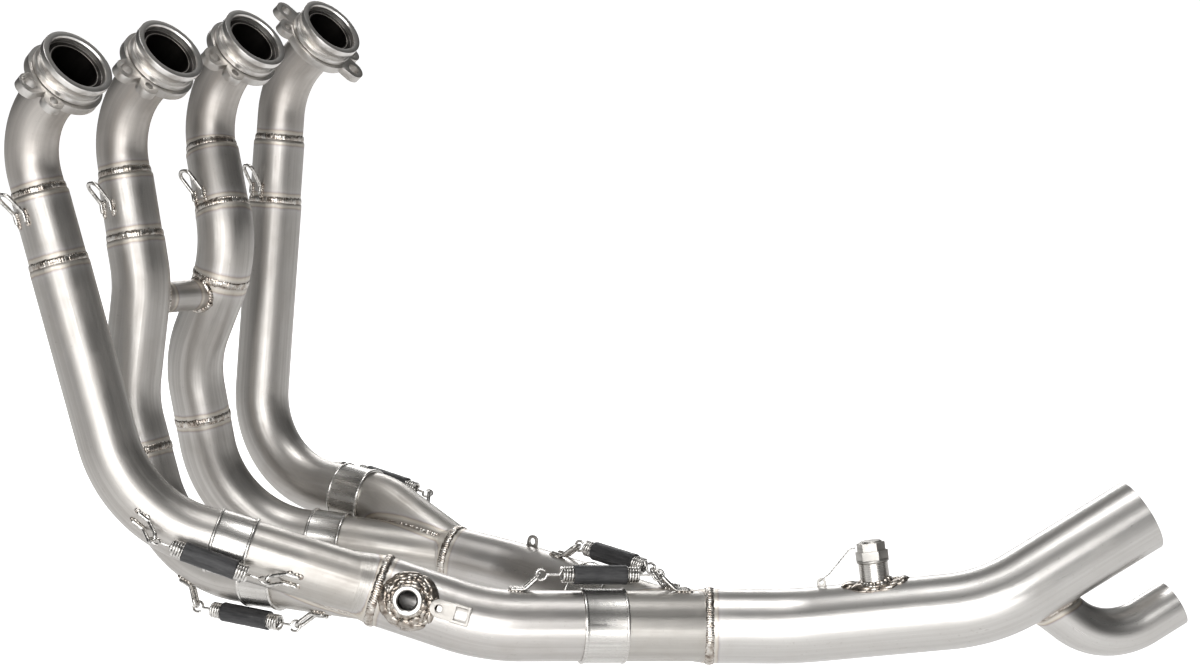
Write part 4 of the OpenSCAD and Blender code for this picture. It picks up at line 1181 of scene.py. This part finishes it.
coil_points, coil_faces = coil("wound_part")
SPRING_FRAMES = []
for k, (line, radius, start, stop, side) in enumerate(SPRING_AT):
    a = bow_at(line, radius, start, side, LOOP_LIFT[k], 1)
    b = bow_at(line, radius, stop, side, LOOP_LIFT[k], -1)
    z = unit(b - a)
    x = unit(side - z * float(side @ z))
    y = np.cross(z, x)
    length = float(np.linalg.norm(b - a))
    rest = (length - COIL_LEN) / 2
    SPRING_FRAMES.append((a, x, y, z, length))
    wound_points = a + np.outer(coil_points[:, 0], x) + np.outer(coil_points[:, 1], y) \
        + np.outer(coil_points[:, 2] + rest, z)
    parts = [(wound_points, coil_faces)]
    local = hook_points(rest)
    near_end = [a + x * u + y * v + z * w for u, v, w in local]
    far_end = [b + x * u - y * v - z * w for u, v, w in local]
    for points in (near_end, far_end):
        parts.append(wire("hook", points, COIL_WIRE_R, (0.01,) * (len(points) - 2), 12, 0.7))
    settle(gathered(f"spring_{k + 1}_wire", parts), f"spring_{k + 1}", spring_steel)

# The rubber sleeves. A length of black hose is slid over the middle of each spring to stop it
# singing and to keep a broken end from flying. Its cut ends are soft and it is scuffed grey.
SLEEVE_R, SLEEVE_LEN = 6.5, 36.0
rubber = bpy.data.materials.new("sleeve_rubber")
rubber.use_nodes = True
tree = rubber.node_tree
shader = tree.nodes["Principled BSDF"]
data = put(tree, "Attribute", attribute_name="place")
drawn = put(tree, "Mapping", (("Vector", data.outputs["Vector"]), ("Scale", (500, 500, 60))))
scuff = put(tree, "TexNoise", (("Vector", drawn.outputs[0]), ("Scale", 1.0), ("Detail", 6.0),
                               ("Roughness", 0.7)))
pores = put(tree, "TexNoise", (("Vector", data.outputs["Vector"]), ("Scale", 1500.0), ("Detail", 4.0)))
shown = ramp(tree, scuff.outputs[0], ((0.40, (0.014, 0.014, 0.015)), (0.62, (0.040, 0.039, 0.040)),
                                      (0.78, (0.11, 0.108, 0.105))))
tree.links.new(shown, shader.inputs["Base Color"])
tree.links.new(worked(tree, "MULTIPLY_ADD", scuff.outputs[0], 0.25, 0.36), shader.inputs["Roughness"])
height = worked(tree, "MULTIPLY_ADD", pores.outputs[0], 0.6, scuff.outputs[0])
bumped = put(tree, "Bump", (("Height", height), ("Strength", 0.5), ("Distance", 0.0004)))
tree.links.new(bumped.outputs[0], shader.inputs["Normal"])
for k, (a, x, y, z, length) in enumerate(SPRING_FRAMES):
    inner, half = COIL_R + COIL_WIRE_R + 0.08, SLEEVE_LEN / 2
    rows = [(inner, -half + 0.2), (inner + 0.2, -half), (SLEEVE_R - 0.35, -half),
            (SLEEVE_R - 0.08, -half + 0.25)]
    rows += [(SLEEVE_R - 0.10 * (0.5 - 0.5 * math.cos(6 * math.pi * t)), (t - 0.5) * (SLEEVE_LEN - 1))
             for t in np.linspace(0, 1, 19)]
    rows += [(SLEEVE_R - 0.08, half - 0.25), (SLEEVE_R - 0.35, half), (inner + 0.2, half),
             (inner, half - 0.2)]
    sleeve = turned(f"sleeve_{k + 1}_rubber", a + z * length / 2, z, x, rows, 64, 50)
    settle(sleeve, f"sleeve_{k + 1}", rubber)

# The fittings. A threaded boss takes a sensor on the near pipe, a folded hose tab sits behind it,
# a small lug stands on the far pipe, and a two-tier hexagon plug closes a boss on the tail pipe.
# The bosses' threaded bores, inside about 6 to 7 mm radius, are painted near black as shade.
boss_steel = lathe_finish("boss_steel", (0.60, 0.58, 0.55), 0.22, dark=(0.0062, 0.0072), lines=1500.0)
thread = []
for k in range(13):
    thread += [(6.0, 31.2 - k), (6.55, 30.7 - k)]
profile = [(6.9, 18.5), (9.9, 18.5), (9.9, 31.6), (9.5, 32.3), (9.0, 32.5), (7.4, 32.5), (6.9, 32.2),
           *thread, (6.0, 18.6)]
boss = turned("sensor_boss_turned", sensor_foot, sensor_way, NEAR.at([SENSOR_STATION])[1][0], profile, 96, 28)
settle(boss, "sensor_boss", boss_steel)
profile = [(7.1, 21.0), (9.9, 21.0), (9.9, 37.4), (9.5, 38.0), (7.1, 38.0)]
boss = turned("plug_boss_turned", plug_foot, plug_way, TAIL.at([PLUG_STATION])[1][0], profile, 96, 28)
settle(boss, "plug_boss", boss_steel)
plate_steel = steel_finish("plate_steel", place=None, seam=None, Steel=(0.44, 0.425, 0.40, 1), Streaks=0.2,
                           Stains=0.9, Polish=0.34, bump=0.4)
softened("hose_tab_plate", "hose_tab", 0.25, 2, plate_steel)
softened("far_lug_plate", "far_lug", 0.25, 2, plate_steel)
softened("wire_lug_plate", "wire_lug", 0.2, 2, plate_steel)
softened("blanking_plug_hexagon", "blanking_plug", 0.4, 3, plate_steel)
softened("plug_washer_ring", "plug_washer", 0.25, 2, plate_steel)

# The safety wire, two strands twisted together from a hole in the hexagon to a lug on the pipe.
LUG_STATION = 86
PLUG_LIFT = TAIL_R + 13
lug_foot = TAIL.at([LUG_STATION])[0][0]
plug_head = TAIL.at([PLUG_STATION])[0][0]
back = -TAIL.at([PLUG_STATION])[1][0]
PLUG_TOP_R, HOLE_LIFT = 8.25, PLUG_LIFT + 10.25
wire_route = CentreLine((plug_head + PLUG_SIDE * HOLE_LIFT + back * PLUG_TOP_R,
                         plug_head + PLUG_SIDE * (HOLE_LIFT - 0.5) + back * (PLUG_TOP_R + 4),
                         lug_foot + PLUG_SIDE * (TAIL_R + 8) - back * 8,
                         lug_foot + PLUG_SIDE * (TAIL_R + 3)), (4, 6))
s = np.linspace(0, wire_route.length, 120)
p, d, x, y = wire_route.at(s)
parts = []
for phase in (0, math.pi):
    angle = s / 5.0 * 2 * math.pi + phase
    strand = p + (x * np.cos(angle)[:, None] + y * np.sin(angle)[:, None]) * 0.3
    parts.append(wire("strand", list(strand), 0.3, (0.01,) * (len(strand) - 2), 8, 0.6))
lock_steel = wire_finish("lock_wire", (0.60, 0.58, 0.55), 0.2)
settle(gathered("safety_wire_strands", parts), "safety_wire", lock_steel)
